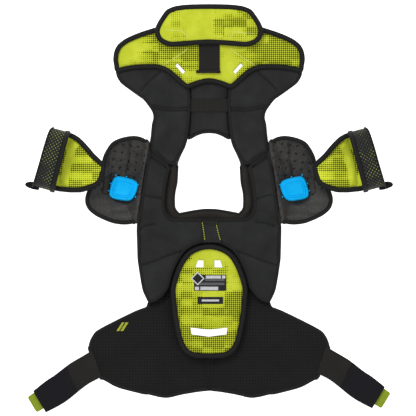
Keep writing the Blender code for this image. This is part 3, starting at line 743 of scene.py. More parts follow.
def inflate(piece, free, pressure, most):
    """Swells the free points of a closed mesh by cloth simulation, and moves none by more than most."""
    count = len(piece.data.vertices)
    before = np.zeros(count * 3)
    piece.data.vertices.foreach_get("co", before)
    before = before.reshape(-1, 3)
    pins = piece.vertex_groups.new(name="pins")
    pins.add([int(i) for i in np.flatnonzero(~free)], 1.0, "REPLACE")
    cloth = piece.modifiers.new("cloth", "CLOTH")
    cloth.settings.quality = 4
    cloth.settings.mass = 0.25
    cloth.settings.tension_stiffness = 12
    cloth.settings.compression_stiffness = 12
    cloth.settings.shear_stiffness = 6
    cloth.settings.bending_stiffness = 0.4
    cloth.settings.use_pressure = True
    cloth.settings.uniform_pressure_force = pressure
    cloth.settings.vertex_group_mass = "pins"
    cloth.settings.effector_weights.gravity = 0
    cloth.collision_settings.use_collision = False
    cloth.point_cache.frame_start = 1
    cloth.point_cache.frame_end = SIM_FRAMES
    for step in range(1, SIM_FRAMES + 1):
        bpy.context.scene.frame_set(step)
    grown = piece.evaluated_get(bpy.context.evaluated_depsgraph_get()).to_mesh()
    after = np.zeros(count * 3)
    grown.vertices.foreach_get("co", after)
    moved = after.reshape(-1, 3) - before
    piece.modifiers.remove(cloth)
    piece.vertex_groups.remove(pins)
    bpy.context.scene.frame_set(1)
    length = np.maximum(np.linalg.norm(moved, axis=1, keepdims=True), 1e-9)
    limit = most * MM
    moved *= limit * np.tanh(length / limit) / length
    piece.data.vertices.foreach_set("co", (before + moved).ravel())
    piece.data.update()



RING = 12  # points round a binding's section


def section(width, height, flatness):
    """A rounded flat section: how far each of its points is to the side, and up."""
    around = np.arange(RING) / RING * 2 * np.pi
    wide = np.sign(np.cos(around)) * np.abs(np.cos(around)) ** flatness * width / 2
    tall = np.sign(np.sin(around)) * np.abs(np.sin(around)) ** flatness * height / 2
    return wide, tall


def tube_faces(count, closed):
    """The faces that join count rings of points into a tube, with its two ends shut unless it closes on
    itself."""
    faces = []
    for i in range(count if closed else count - 1):
        j = (i + 1) % count
        for k in range(RING):
            m = (k + 1) % RING
            faces.append((i * RING + k, i * RING + m, j * RING + m, j * RING + k))
    if not closed:
        faces += [tuple(range(RING - 1, -1, -1)), tuple((count - 1) * RING + k for k in range(RING))]
    return faces


def tape(name, material, path, width, height, closed=True):
    """Binding along a path of 3-D points: a rounded flat section, with "along" and "across" in
    millimetres."""
    path = np.asarray(path, float)
    count = len(path)
    if closed:
        along = np.roll(path, -1, 0) - np.roll(path, 1, 0)
    else:
        along = np.gradient(path, axis=0)
    along /= np.linalg.norm(along, axis=1)[:, None]
    side = np.cross(along, (0, 0, 1))
    side /= np.linalg.norm(side, axis=1)[:, None]
    up = np.cross(side, along)
    steps = np.linalg.norm(np.diff(path, axis=0), axis=1)
    walked = np.concatenate([[0], np.cumsum(steps)])
    wide, tall = section(width, height, 0.6)
    shrink = np.ones(count)
    if not closed:
        shrink[[0, -1]] = 0.6
    points = path[:, None] + (side[:, None] * wide[None, :, None] + up[:, None] * tall[None, :, None]) \
        * shrink[:, None, None]
    layers = {"along": np.repeat(walked, RING), "across": np.tile(wide, count)}
    return new_object(name, points.reshape(-1, 3), tube_faces(count, closed), material, layers, smooth=60)


def sheet_solid(name, material, grid, thickness, weave, density=None):
    """A curved sheet through a grid of points, thickened along its normals. weave is each point's (u,
    v)."""
    high, wide = grid.shape[:2]
    along = np.gradient(grid, axis=0)
    across = np.gradient(grid, axis=1)
    normal = np.cross(across, along)
    normal /= np.maximum(np.linalg.norm(normal, axis=2, keepdims=True), 1e-9)
    thick = np.asarray(thickness, float)
    far = grid + normal * (thick[..., None] if thick.ndim else thick)
    points = np.vstack([grid.reshape(-1, 3), far.reshape(-1, 3)])
    count = high * wide
    faces = []
    for i in range(high - 1):
        for j in range(wide - 1):
            a, b, c, d = i * wide + j, (i + 1) * wide + j, (i + 1) * wide + j + 1, i * wide + j + 1
            faces += [(a, b, c, d), (a + count, d + count, c + count, b + count)]
    border = [(0, j) for j in range(wide)] + [(i, wide - 1) for i in range(1, high)]
    border += [(high - 1, j) for j in range(wide - 2, -1, -1)] + [(i, 0) for i in range(high - 2, 0, -1)]
    ring = [i * wide + j for i, j in border]
    faces += [(a, b, b + count, a + count) for a, b in zip(ring, ring[1:] + ring[:1])]
    flat = np.column_stack([weave.reshape(-1, 2), np.zeros(count)])
    layers = {"weave": np.vstack([flat, flat]), "along": np.tile(flat[:, 0], 2),
              "across": np.tile(flat[:, 1], 2)}
    if density is not None:
        layers["print"] = np.tile(density.ravel(), 2)
    return new_object(name, points, faces, material, layers)


def resampled(path, spacing, closed=False):
    """Points spacing apart on the path."""
    path = np.vstack([path, path[:1]]) if closed else path
    steps = np.concatenate([[0], np.cumsum(np.linalg.norm(np.diff(path, axis=0), axis=1))])
    places = np.arange(0, steps[-1], spacing)
    return np.stack([np.interp(places, steps, path[:, k]) for k in range(path.shape[1])], 1)


def surface_of(piece):
    """A function giving the height of a piece's upper face, in millimetres, over points given in
    millimetres."""
    mesh = piece.data
    tree = BVHTree.FromPolygons([v.co.copy() for v in mesh.vertices],
                                [tuple(f.vertices) for f in mesh.polygons])

    def height(points, missing=0.0):
        found = []
        for px, py in points:
            hit = tree.ray_cast(Vector((px * MM, py * MM, 1.0)), Vector((0, 0, -1)))[0]
            found.append(missing if hit is None else hit.z / MM)
        return np.array(found)

    return height


def stitches(name, material, path, spacing=4.2, length=2.9, radius=0.42):
    """A row of stitches along a 3-D path: short rounded threads that dip at both ends."""
    fine = resampled(np.asarray(path, float), 0.5)
    step = max(1, round(spacing / 0.5))
    reach = max(1, round(length / 1.0))
    points, faces = [], []
    for middle in range(step // 2, len(fine) - reach - 1, step):
        start = fine[max(0, middle - reach)]
        end = fine[middle + reach]
        along = (end - start) / max(1e-6, np.linalg.norm(end - start))
        side = np.cross(along, (0, 0, 1))
        side /= max(1e-6, np.linalg.norm(side))
        up = np.cross(side, along)
        first = len(points)
        points.append(start - up * radius * 0.8)
        for share, size in ((0.12, 0.75), (0.35, 1.0), (0.65, 1.0), (0.88, 0.75)):
            centre = start + (end - start) * share
            for k in range(6):
                turn = k / 6 * 2 * math.pi
                points.append(centre + (side * math.cos(turn) + up * math.sin(turn)) * radius * size)
        points.append(end - up * radius * 0.8)
        for k in range(6):
            m = (k + 1) % 6
            faces.append((first, first + 1 + m, first + 1 + k))
            for ring in range(3):
                a = first + 1 + ring * 6
                faces.append((a + k, a + m, a + 6 + m, a + 6 + k))
            faces.append((first + 19 + k, first + 19 + m, first + 25))
    points = np.array(points)
    return new_object(name, points, faces, material, {"weave": points}, smooth=80)


def on_surface(height, path, lift=0.0):
    """The flat path laid on a surface."""
    return np.column_stack([path, height(path) + lift])


# ---------------------------------------------------------------- shared shapes

def ease(value):
    value = np.clip(value, 0, 1)
    return value * value * (3 - 2 * value)


def arch(y):
    """How far the yoke bows up between its folds."""
    share = np.clip((np.asarray(y, float) - REAR_FOLD) / (FRONT_FOLD - REAR_FOLD), 0, 1)
    return YOKE_ARCH * np.sin(np.pi * share)


def over_yoke(base):
    return lambda x, y: base + arch(y)


def stretch(loop, start, end):
    """The shorter way along a closed loop from the point nearest start to the one nearest end."""
    first = int(np.argmin(np.linalg.norm(loop - start, axis=1)))
    last = int(np.argmin(np.linalg.norm(loop - end, axis=1)))
    count = len(loop)
    ahead, behind = (last - first) % count, (first - last) % count
    if ahead <= behind:
        return loop[[(first + i) % count for i in range(ahead + 1)]]
    return loop[[(first - i) % count for i in range(behind + 1)]]


def whole_of(half):
    """A closed loop from its right half, which starts and ends on the centre line."""
    left = (half * (-1, 1))[::-1]
    return np.vstack([half, left[np.abs(left[:, 0]) > 0.5]])


def bound(name, loop, height, body, width=9.0, thick=6.0, lift=-1.6):
    """A binding along the inside of an edge."""
    path = resampled(inset(loop, width / 2 - 0.8), 2.6, True)
    x, y = path.T
    made = tape(name, "binding_tape", np.column_stack([path, as_function(height)(x, y) + lift]), width,
                thick)
    return settle(made, body)


def edging(name, path, low, high, body):
    """The lower part of a binding, which turns down over a pad's side."""
    level = np.full(len(path), (low + high) / 2)
    made = tape(name, "binding_tape", np.column_stack([path, level]), 8.0, high - low)
    settle(made, body)


def settle(piece, body=None, nodes=()):
    """Hides the imported nodes it stands for, and hangs the piece on its body, or bakes its transform when it
    spans two.
    """
    if nodes:
        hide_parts(*nodes)
    if isinstance(body, tuple):
        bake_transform(piece)
    elif body:
        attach(piece, body)
    return piece


BACK_RIM = loops_of("back_liner")[0]
YOKE_RIM = loops_of("yoke_liner_left")[0]
CHEST_RIM = loops_of("chest_yoke_liner_left")[0]
DIAGONAL = np.array([(129, 124), (92, 97)], float)


# ---------------------------------------------------------------- back and shoulders

def back_quilt():
    """The black liner of the back and both shoulders, one quilted pad that bends at the rear fold."""
    hem = stretch(BACK_RIM, (0, -76), (157, -110))
    outer = stretch(YOKE_RIM, (156, -22), (133, 118))
    inner = stretch(YOKE_RIM, (86, 88), (2, -24))
    half = np.vstack([hem, [(158.5, -52)], [(158, -37)], outer, DIAGONAL[:1], DIAGONAL[1:], inner])
    half = np.vstack([np.array([(0, half[0][1])]), half[half[:, 0] > 1.5], np.array([(0, -24.0)])])
    rim = whole_of(half)
    creases = []
    for side in (1, -1):
        for back in (5.5, 11.0):
            step = np.array([0.586, -0.81]) * back
            creases.append(curve([DIAGONAL[0] + step + (1.5, 0), DIAGONAL[1] + step - (4, 0)]) * (side, 1))
        creases.append(curve([(145, -125), (120, -117), (84, -103), (53, -93)]) * (side, 1))
    creases.append(curve([(-152, -47), (-144, -41), (-132, -37.5), (-118, -36)]))
    creases.append(curve([(144, -40), (134, -36.5), (120, -33), (105, -31)]))
    creases.append(curve([(-137, 27), (-128, 24), (-116, 22.5), (-107, 21.5)]))
    creases.append(curve([(137, 28), (128, 27), (116, 23), (105, 20)]))
    quilt = pad("back_quilt", "black_liner", [rim], over_yoke(LINER_TOP - 1.5), over_yoke(LINER_BOTTOM),
                pitch=5.5,
                roll=6, crown=3.2, reach=22, creases=creases, groove=3.2, groove_width=2.0, puff=3.5)
    top = surface_of(quilt)
    settle(quilt, ("back", "yoke"),
           ("back_liner", "yoke_liner_left", "yoke_liner_right"))
    bound("back_quilt_binding", rim, over_yoke(LINER_TOP - 2.0), ("back", "yoke"), width=8.5)
    for number, line in enumerate(creases):
        seam = stitches(f"back_quilt_seam_{number}", "stitch_black", on_surface(top, line, 0.2), 3.6, 2.6,
                        0.35)
        settle(seam, ("back", "yoke"))
    for name, spots in (("right", ((-121, 68), (-125, 66))), ("left", ((109, 58), (111, 62)))):
        line = on_surface(top, curve(spots, 1), 0.3)
        tack = stitches(f"bar_tack_{name}", "stitch_black", line, 1.4, 2.6, 0.8)
        settle(tack, "yoke")


def collar_lining():
    """The soft lining round the neck opening, which shows inside the liner's edge."""
    rim = loops_of("collar_foam")[0]
    neck = stretch(rim, (-59, 120), (59, 120))

    def top(x, y):
        away = distance_to(np.column_stack([x, y]), rim)
        return 17.0 + arch(y) + 7.0 * (1 - np.exp(-((away / 7) ** 2))) * np.exp(-((away / 17) ** 4))

    lining = pad("collar_lining", "collar", [rim], top, over_yoke(8.0), pitch=6, roll=5, crown=0)
    settle(lining, "yoke", nodes=("collar_foam",))
    neck = neck[neck[:, 1] < 96]
    path = resampled(inset_open(neck, 1.5 * np.sign(neck[0][0])), 2.6)
    made = tape("neck_binding", "binding_tape", on_surface(lambda p: 15.5 + arch(p[:, 1]), path), 6.5, 6.0,
                closed=False)
    settle(made, "yoke")


def inset_open(line, distance):
    """An open line moved to its left by distance."""
    along = np.gradient(line, axis=0)
    along /= np.linalg.norm(along, axis=1)[:, None]
    return line + np.stack([-along[:, 1], along[:, 0]], 1) * distance


def back_loop():
    """The hanging loop's tab, and its two rows of lime stitching."""
    slant = {"left": [(-15, -31), (-12, -50), (-9, -72)], "right": [(15.5, -32), (19, -50), (25, -71)]}
    rim = joined([(-17, -29), (-15, -50), (-12, -76)], [(-12, -76), (27, -76)],
                 [(27, -76), (22, -50), (17.5, -29)],
                 [(17.5, -29), (-17, -29)])
    tab = pad("loop_tab", "black_liner", [rim], over_yoke(37.6), over_yoke(34.6), pitch=5, roll=1.5,
              crown=0.6, reach=6)
    top = surface_of(tab)
    settle(tab, ("back", "yoke"), ("back_loop_tab",))
    for name, spots in slant.items():
        row = stitches(f"loop_stitches_{name}", "stitch_lime", on_surface(top, curve(spots), 0.4), 5.2,
                       4.2, 1.25)
        settle(row, ("back", "yoke"))
    bar = [(-15, -30.5), (-6, -31), (0, -31), (3, -36), (14, -36), (16, -31)]
    line = curve(bar, 2)
    made = tape("loop_cord", "stitch_black", on_surface(top, line, 0.8), 3.2, 2.6, closed=False)
    settle(made, ("back", "yoke"))


# ---------------------------------------------------------------- spine pad

def spine_density(x, y):
    blocks = 0.42 + 0.45 * np.clip((-165 - y) / 50, 0, 1)
    blocks += 0.15 * np.clip((np.abs(x) - 35) / 40, 0, 1)
    blocks -= 0.6 * np.exp(-((x - 12) / 22) ** 2 - ((y + 200) / 40) ** 2)
    blocks -= 0.5 * (y > -128) * (x > -40)
    blocks -= 0.5 * (y > -165) * (x > 40)
    return blocks


def spine_pad():
    loops = loops_of("spine_pad")
    rim = inset(loops[0], -1.5)
    piece = pad("spine_cushion", "lime_liner", [rim, *loops[1:]], 32.5, LINER_BOTTOM, pitch=5, roll=3.0,
                crown=4.0,
                reach=20, puff=3, pressure=1.6, density=spine_density)
    top = surface_of(piece)
    settle(piece, "back", nodes=("spine_pad",))
    outer = loops_of("spine_pad_binding")[0]
    ring = bound("spine_binding", inset(outer, -0.5), LINER_TOP + 2.0, "back", width=11.0, thick=9.0,
                 lift=-2.0)
    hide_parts("spine_pad_binding")
    edging("spine_edging", resampled(inset(outer, 4.2), 2.6, True), LINER_BOTTOM + 0.3, 34.0, "back")
    seam = resampled(inset(outer, 8.6), 1, True)
    seam = np.column_stack([seam, np.full(len(seam), 38.6)])
    row = stitches("spine_binding_stitches", "stitch_black", seam, 3.4, 2.4, 0.32)
    settle(row, "back")
    label_block("care_label", (-33, 38), (-182, -147), top)
    label_block("plain_tag", (-25, 31), (-211, -195.5), top, dark=True)


def sewn_patch(name, material, loop, top, lift):
    """A thin patch sewn on the spine pad, lift above its face."""
    made = pad(name, material, [loop], lambda x, y: top(np.column_stack([x, y])) + lift,
               lambda x, y: top(np.column_stack([x, y])) - 0.6, pitch=8, roll=0.5, crown=0.0)
    add_layer(made, "weave", rest_of(made))
    settle(made, "back")


def label_block(name, across, along, top, dark=False):
    """A blank sewn label: a dark field with pale bars and a diamond, or a plain dark tag with a pale
    line."""
    (left, right), (low, high) = across, along

    def plate(part, material, x_low, y_low, x_high, y_high, lift=0.6):
        loop = polygon([(x_low, y_low), (x_high, y_low), (x_high, y_high), (x_low, y_high)])
        sewn_patch(f"{name}_{part}", material, loop, top, lift)

    plate("ground", "label_dark", left, low, right, high, 0.35)
    if dark:
        plate("line", "label", left + 9, low + 5.5, right - 9, high - 5.5)
        return
    plate("header", "label", left + 26, high - 8, right - 12, high - 1.5)
    plate("corner", "label", right - 9.5, high - 8, right - 2, high - 1.5)
    plate("footer", "label", left + 14, low + 1.5, right - 18, low + 9)
    plate("foot", "label", left + 2, low + 1.5, left + 11, low + 9)
    plate("upper_bar", "label_grey", left + 24, low + 21.5, right - 4, low + 27)
    plate("lower_bar", "label_grey", left + 4, low + 12.5, right - 4, low + 18)
    turn = np.arange(4) * np.pi / 2
    for part, material, radius, lift in (("badge_edge", "label", 15, 0.8),
                                         ("badge", "label_dark", 11.5, 1.1)):
        rim = np.stack([left + 8 + radius * np.cos(turn), high - 8 + radius * np.sin(turn)], 1)
        sewn_patch(f"{name}_{part}", material, polygon(rim), top, lift)


# ---------------------------------------------------------------- chest

def chest_quilts():
    """The black liners of the chest. Each bends at the front fold and ends in a diagonal seam past it."""
    for name, side in SIDES.items():
        upper = stretch(CHEST_RIM, (48, 271), (205, 304))
        outer = stretch(CHEST_RIM, (205, 300), (130, 126))
        inner = stretch(CHEST_RIM, (60, 124), (46.5, 268))
        half = np.vstack([upper, outer, DIAGONAL, [(80, 95), (73, 99), (66.5, 110)], inner])
        rim = sided(half, side)
        seams = [curve([(149, 258), (134, 275), (108, 299)]),
                 curve([(123, 226), (100, 221), (74, 219), (46, 221)]),
                 curve([(122, 220), (100, 215), (74, 213), (45, 215)])]
        seams = [line * (side, 1) for line in seams]
        quilt = pad(f"chest_quilt_{name}", "black_liner", [rim], over_yoke(LINER_TOP - 1.5),
                    over_yoke(LINER_BOTTOM),
                    pitch=5.5, roll=6, crown=3.2, reach=22, creases=seams, groove=2.9, groove_width=2.0,
                    puff=3.5)
        top = surface_of(quilt)
        settle(quilt, ("yoke", "chest"), (f"chest_yoke_liner_{name}",))
        bound(f"chest_quilt_binding_{name}", rim, over_yoke(LINER_TOP - 2.0), ("yoke", "chest"), width=8.5)
        for number, line in enumerate(seams):
            made = stitches(f"chest_seam_{name}_{number}", "stitch_black", on_surface(top, line, 0.2), 3.6,
                            2.6, 0.35)
            settle(made, "chest")


def chest_density(x, y):
    left = np.clip((x + 185) / 60, 0, 1) * 0.85 - 0.12
    right = np.clip((x - 20) / 90, 0, 1) * 0.65 + 0.22
    value = np.where(x < 0, left, right)
    value -= 0.45 * np.exp(-((x - 42) / 16) ** 2 - ((y - 320) / 30) ** 2)
    value -= 0.5 * (y < 300) * (np.abs(x) < 60)
    value -= 0.35 * np.exp(-((x + 160) / 30) ** 2 - ((y - 368) / 12) ** 2)
    return value


def chest_panel():
    """The printed panel. Its binding lies on it round the free edge, and over the black quilts' hems
    below."""
    whole = inset(loops_of("chest_panel_binding")[0], -0.8)
    hem = (whole[:, 1] < 318) & (np.abs(whole[:, 0]) < 204)
    rim = inset(whole, np.where(hem, -1.0, 3.5))
    rim = smoothed(rim, 1)
    vents = loops_of("chest_panel")[1:]
    piece = pad("chest_cushion", "lime_liner", [rim, *vents], 33.0, LINER_BOTTOM, pitch=5, roll=3.0,
                crown=3.0, reach=18,
                puff=2.5, pressure=1.5, density=chest_density)
    top = surface_of(piece)
    settle(piece, "chest", nodes=("chest_panel",))
    lines = [[(side * 101, 314), (side * 54, 344), (side * 46, 352)] for side in (1, -1)]
    printed_lines("chest", top, "chest", lines)
    path = smoothed(resampled(inset(whole, np.where(hem, -5.2, 4.6)), 2.4, True), 4)
    level = LINER_TOP + 1.2 - 3.6 * np.exp(-((path[:, 0] / 37) ** 4))
    ring = tape("chest_binding", "binding_tape", np.column_stack([path, level]), 11.0, 9.0)
    settle(ring, "chest", nodes=("chest_panel_binding",))
    edging("chest_edging", path, LINER_BOTTOM + 0.3, 36.0, "chest")


def printed_lines(name, top, body, lines):
    """Thin pale lines of the lime print."""
    for number, spots in enumerate(lines):
        path = resampled(np.array(spots, float), 2.0)
        made = tape(f"{name}_line_{number}", "lime_line", on_surface(top, path, 0.0), 1.1, 0.7,
                    closed=False)
        settle(made, body)


def throat():
    rim = loops_of("throat_bib")[0]
    bib = pad("bib_cushion", "black_liner", [rim], 27.0, LINER_BOTTOM, pitch=5, roll=4, crown=2.0,
              reach=16, puff=2)
    settle(bib, "chest", nodes=("throat_bib",))
    neck = stretch(rim, (-43, 158), (43, 158))
    path = resampled(inset_open(neck, -2.6 if neck[0][0] < 0 else 2.6), 2.6)
    made = tape("throat_binding", "binding_tape", np.column_stack([path, np.full(len(path), 25.5)]), 7, 6,
                closed=False)
    settle(made, "chest")
    low, high = [[c / MM for c in corner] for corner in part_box("sternum_strap")]
    xs, ys = np.linspace(low[0] - 3, high[0] + 3, 40), np.linspace(low[1], high[1], 14)
    grid = np.array([[(x, y, 31.4 - 1.6 * (x / 42) ** 2) for x in xs] for y in ys])
    weave = np.array([[(y, x) for x in xs] for y in ys])
    band = sheet_solid("sternum_elastic", "elastic", grid, -2.4, weave)
    settle(band, "chest", nodes=("sternum_strap",))


# ---------------------------------------------------------------- belly flap

def flap_density(x, y):
    value = np.where(x < -48, 0.3, np.where(x < 8, -0.6, 0.42 + 0.35 * np.clip((x - 20) / 60, 0, 1)))
    value -= 0.5 * (y > 425) * (x > 20) * (x < 62)
    value -= 0.45 * (x < -84)
    return value


FLAP_SLIDE = 16.0  # how far short the strap stops, to clear the panel's rim when the flap slides


def belly_flap():
    rim = loops_of("belly_flap")[0]
    base = bottom_of("belly_flap")
    piece = pad("flap_cushion", "lime_liner", [inset(rim, -3)], base + 8.5, base + 1.6, pitch=5, roll=3.0,
                crown=4.5, reach=20,
                puff=3, pressure=1.6, density=flap_density)
    top = surface_of(piece)
    settle(piece, "flap", nodes=("belly_flap",))
    lines = [[(-98, 391), (-60, 390), (-44, 372)], [(98, 383), (56, 387), (44, 372)]]
    printed_lines("flap", top, "flap", lines)
    outer = loops_of("belly_flap_binding")[0]
    ring = bound("flap_binding", inset(outer, -0.5), base + 10.5, "flap", width=11.5, thick=13.0, lift=-4.4)
    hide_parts("belly_flap_binding")
    low, high = [[c / MM for c in corner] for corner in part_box("flap_hook_strap")]
    top_end = high[1] - FLAP_SLIDE
    xs, ys = np.linspace(low[0], high[0], 24), np.linspace(low[1] + 2, top_end, 40)
    grid = np.array([[(x, y, high[2] + 2.4) for x in xs] for y in ys])
    weave = np.array([[(x, y) for x in xs] for y in ys])
    strap = sheet_solid("flap_strap", "elastic_plain", grid, -2.0, weave)
    settle(strap, "flap", nodes=("flap_hook_strap",))
    rim = polygon([(-29, 296.5), (25, 296.5), (24.5, 303.5), (-28, 303.5)])
    bar = pad("strap_keeper", "elastic", [rim], high[2] + 5.0, high[2] + 0.8, pitch=5, roll=1.4, crown=0.5,
              reach=3)
    settle(bar, "flap")
    add_layer(bar, "across", rest_of(bar)[:, 0])


# ---------------------------------------------------------------- belt and belly straps

def wing_height(x, y):
    """The belt's upper face. It falls a little towards the ends of its wings, and dips under the back
    liner."""
    hidden = np.where(np.abs(x) < 150, ease((y + 220) / 26), 0)
    return top_of("belt_center") - 4.4 * ease((np.abs(x) - WING_HINGE) / 130) - 5.5 * hidden


def belt():
    """The knit-faced belt in two halves that meet under the spine pad. Each bends at its wing's hinge."""
    for name, side in SIDES.items():
        center = loops_of("belt_center")[0]
        wing = loops_of("kidney_wing_left")[0]
        upper = curve([(2, -172), (52, -170), (72, -158), (88, -155), (104, -162), (120, -176),
                       (131, -188), (133, -203),
                       (137.5, -217)])
        lower = stretch(center, (133, -410), (0.5, -403))
        around = stretch(wing, (140, -219), (264, -310))
        around = np.vstack([around, stretch(wing, (264, -316), (140, -411))])
        notch = [(0, -284), (20, -283), (38.5, -279), (41, -263), (20, -266), (0, -267)]
        half = np.vstack([[(0, -172)], upper, around, lower[lower[:, 0] > 2], [(0, -403)],
                          [(0, -345)], notch, [(0, -230)]])
        rim = sided(half, side)
        piece = pad(f"belt_{name}", "knit_mesh", [rim], wing_height, lambda x, y: wing_height(x, y) - 11.5,
                    pitch=6,
                    roll=5.5, crown=3.4, reach=26, groove=1.6, puff=2.5, butt=True)
        nodes = (f"kidney_wing_{name}",) + (("belt_center",) if side > 0 else ())
        settle(piece, ("back", f"wing_{name}"), nodes)
        edge = rim[np.abs(rim[:, 0]) > 2]
        out = np.abs(edge[:, 0])
        edge = edge[(edge[:, 1] < -396) | (out > 128) | ((edge[:, 1] > -235) & (out > 84))]
        start = int(np.argmax(np.linalg.norm(np.diff(np.vstack([edge, edge[:1]]), axis=0), axis=1))) + 1
        edge = np.roll(edge, -start, 0)
        line = inset_open(resampled(edge, 2.6), 3.4 * (1 if signed_area(rim) > 0 else -1))
        made = tape(f"belt_binding_{name}", "binding_tape",
                    np.column_stack([line, wing_height(*line.T) - 2.6]), 8.0, 7.0, closed=False)
        settle(made, ("back", f"wing_{name}"))


def wing_mark():
    """Two slanted lime bars near the edge of the right wing."""
    for number, shift in enumerate((0, 8.6)):
        rim = np.array([(-204 + shift, -271), (-198 + shift, -271), (-186 + shift, -252),
                        (-192 + shift, -252)], float)
        made = pad(f"wing_mark_{number}", "stitch_lime", [polygon(rim, 1.5)],
                   lambda x, y: wing_height(x, y) + 4.2, lambda x, y: wing_height(x, y) - 1.0,
                   pitch=5, roll=0.6, crown=0)
        add_layer(made, "weave", rest_of(made))
        settle(made, "wing_right")


def strap_height(x, y):
    """A belly strap falls from its wing's edge to the floor."""
    root = np.array(STRAP_ROOT, float)
    out = np.array([root[0][1] - root[1][1], root[1][0] - root[0][0]])
    out /= np.linalg.norm(out)
    away = (np.abs(x) - root[0][0]) * out[0] + (y - root[0][1]) * out[1]
    share = np.clip(away / 60, 0, 1)
    return 4.2 + 8.4 * (1 - ease(share))


STRAP_ROOT = ((266.5, -315.0), (244.5, -372.0))
STRAP_UPPER = [(258, -309), (268, -315.5), (286, -326), (306, -338), (323, -350.5), (341, -364.5),
               (360, -377), (389, -400)]
STRAP_LOWER = [(238, -366), (246, -372.5), (262, -381), (279, -393), (294.5, -405.5), (310, -418),
               (330, -431), (361, -447)]
STRAP_SKEW = 4.5  # one strap lies this much further up in y, and the other further down
STRAP_ROW = 2.4
STRAP_WIDE = 22  # points across a strap


def belly_straps():
    for name, side in SIDES.items():
        sag = (0, STRAP_SKEW * side)
        upper, lower = (resampled(curve(line), STRAP_ROW) + sag for line in (STRAP_UPPER, STRAP_LOWER))
        count = min(len(upper), len(lower))
        pick = np.linspace(0, 1, count)
        upper, lower = (line[np.round(pick * (len(line) - 1)).astype(int)] for line in (upper, lower))
        split = int(count * 0.43)
        for part, rows, material, slot, lift in (
            ("belly_elastic", slice(0, split + 2), "elastic_long", "elastic", 0.0),
            ("belly_patch", slice(split, count), "hook_tape", "hook_tape", 0.9),
        ):
            shares = np.linspace(0.0, 1.0, STRAP_WIDE)
            grid, weave = [], []
            for row, (a, b) in enumerate(zip(upper[rows], lower[rows])):
                points = a[None] + (b - a)[None] * shares[:, None]
                bow = 0.5 * np.sin(np.pi * shares)
                z = strap_height(*points.T) + lift + bow
                grid.append(np.column_stack([points[:, 0] * side, points[:, 1], z]))
                weave.append(np.column_stack([np.full(STRAP_WIDE, row * STRAP_ROW), shares * 64]))
            grid, weave = np.array(grid), np.array(weave)
            made = sheet_solid(f"{part}_{name}", material, grid, 2.6 * side, weave)
            nodes = (f"belly_strap_{name}",) if part == "belly_elastic" else (f"belly_hook_patch_{name}",)
            if part == "belly_elastic":
                settle(made, (f"wing_{name}", f"strap_{name}"), nodes=nodes)
            else:
                settle(made, f"strap_{name}", nodes=nodes)
        box = [upper[split + 3], upper[-3], lower[-3], lower[split + 3]]
        middle = sum(box) / 4
        box = [p + (middle - p) * 0.07 for p in box]
        line = polygon(box)
        line = np.vstack([line, line[:1]]) * (side, 1)
        made = stitches(f"patch_stitches_{name}", "stitch_black",
                        np.column_stack([line, strap_height(*line.T) + 1.4]),
                        3.6, 2.6, 0.4)
        settle(made, f"strap_{name}")
        rim = polygon([(385, -402), (398.5, -411), (399.5, -415), (382, -444), (378, -445.5), (364, -437)],
                      2) + sag
        tab = pad(f"pull_tab_cover_{name}", "lime_webbing", [sided(rim, side)], 3.4, 0.5, pitch=5,
                  roll=0.8, crown=0.4, reach=4)
        add_layer(tab, "weave", rest_of(tab) @ np.array([[0.53, 0.85, 0], [-0.85, 0.53, 0], [0, 0, 1]]).T)
        settle(tab, f"strap_{name}", nodes=(f"pull_tab_{name}",))


# ---------------------------------------------------------------- shoulder caps

CAP_CENTRE = np.array([203.0, 58.0])
CAP_RIM = loops_of("cap_liner_left", pitch=3)[0]
CAP_ANGLES = np.arctan2(*(CAP_RIM - CAP_CENTRE)[:, ::-1].T)
CAP_REACH = np.linalg.norm(CAP_RIM - CAP_CENTRE, axis=1)


def dome(x, y):
    """The outer face of the left cap: on the floor at its crown, and about 30 mm up at its rim."""
    away = np.column_stack([x, y]) - CAP_CENTRE
    distance = np.linalg.norm(away, axis=1)
    order = np.argsort(CAP_ANGLES)
    reach = np.interp(np.arctan2(away[:, 1], away[:, 0]), CAP_ANGLES[order], CAP_REACH[order],
                      period=2 * np.pi)
    outward = np.maximum(0, away[:, 0] / np.maximum(distance, 1e-6))
    return (30 - 5 * outward) * np.minimum(1.04, distance / reach) ** 2.2


def over_dome(base, side):
    return lambda x, y: dome(side * x, y) + base


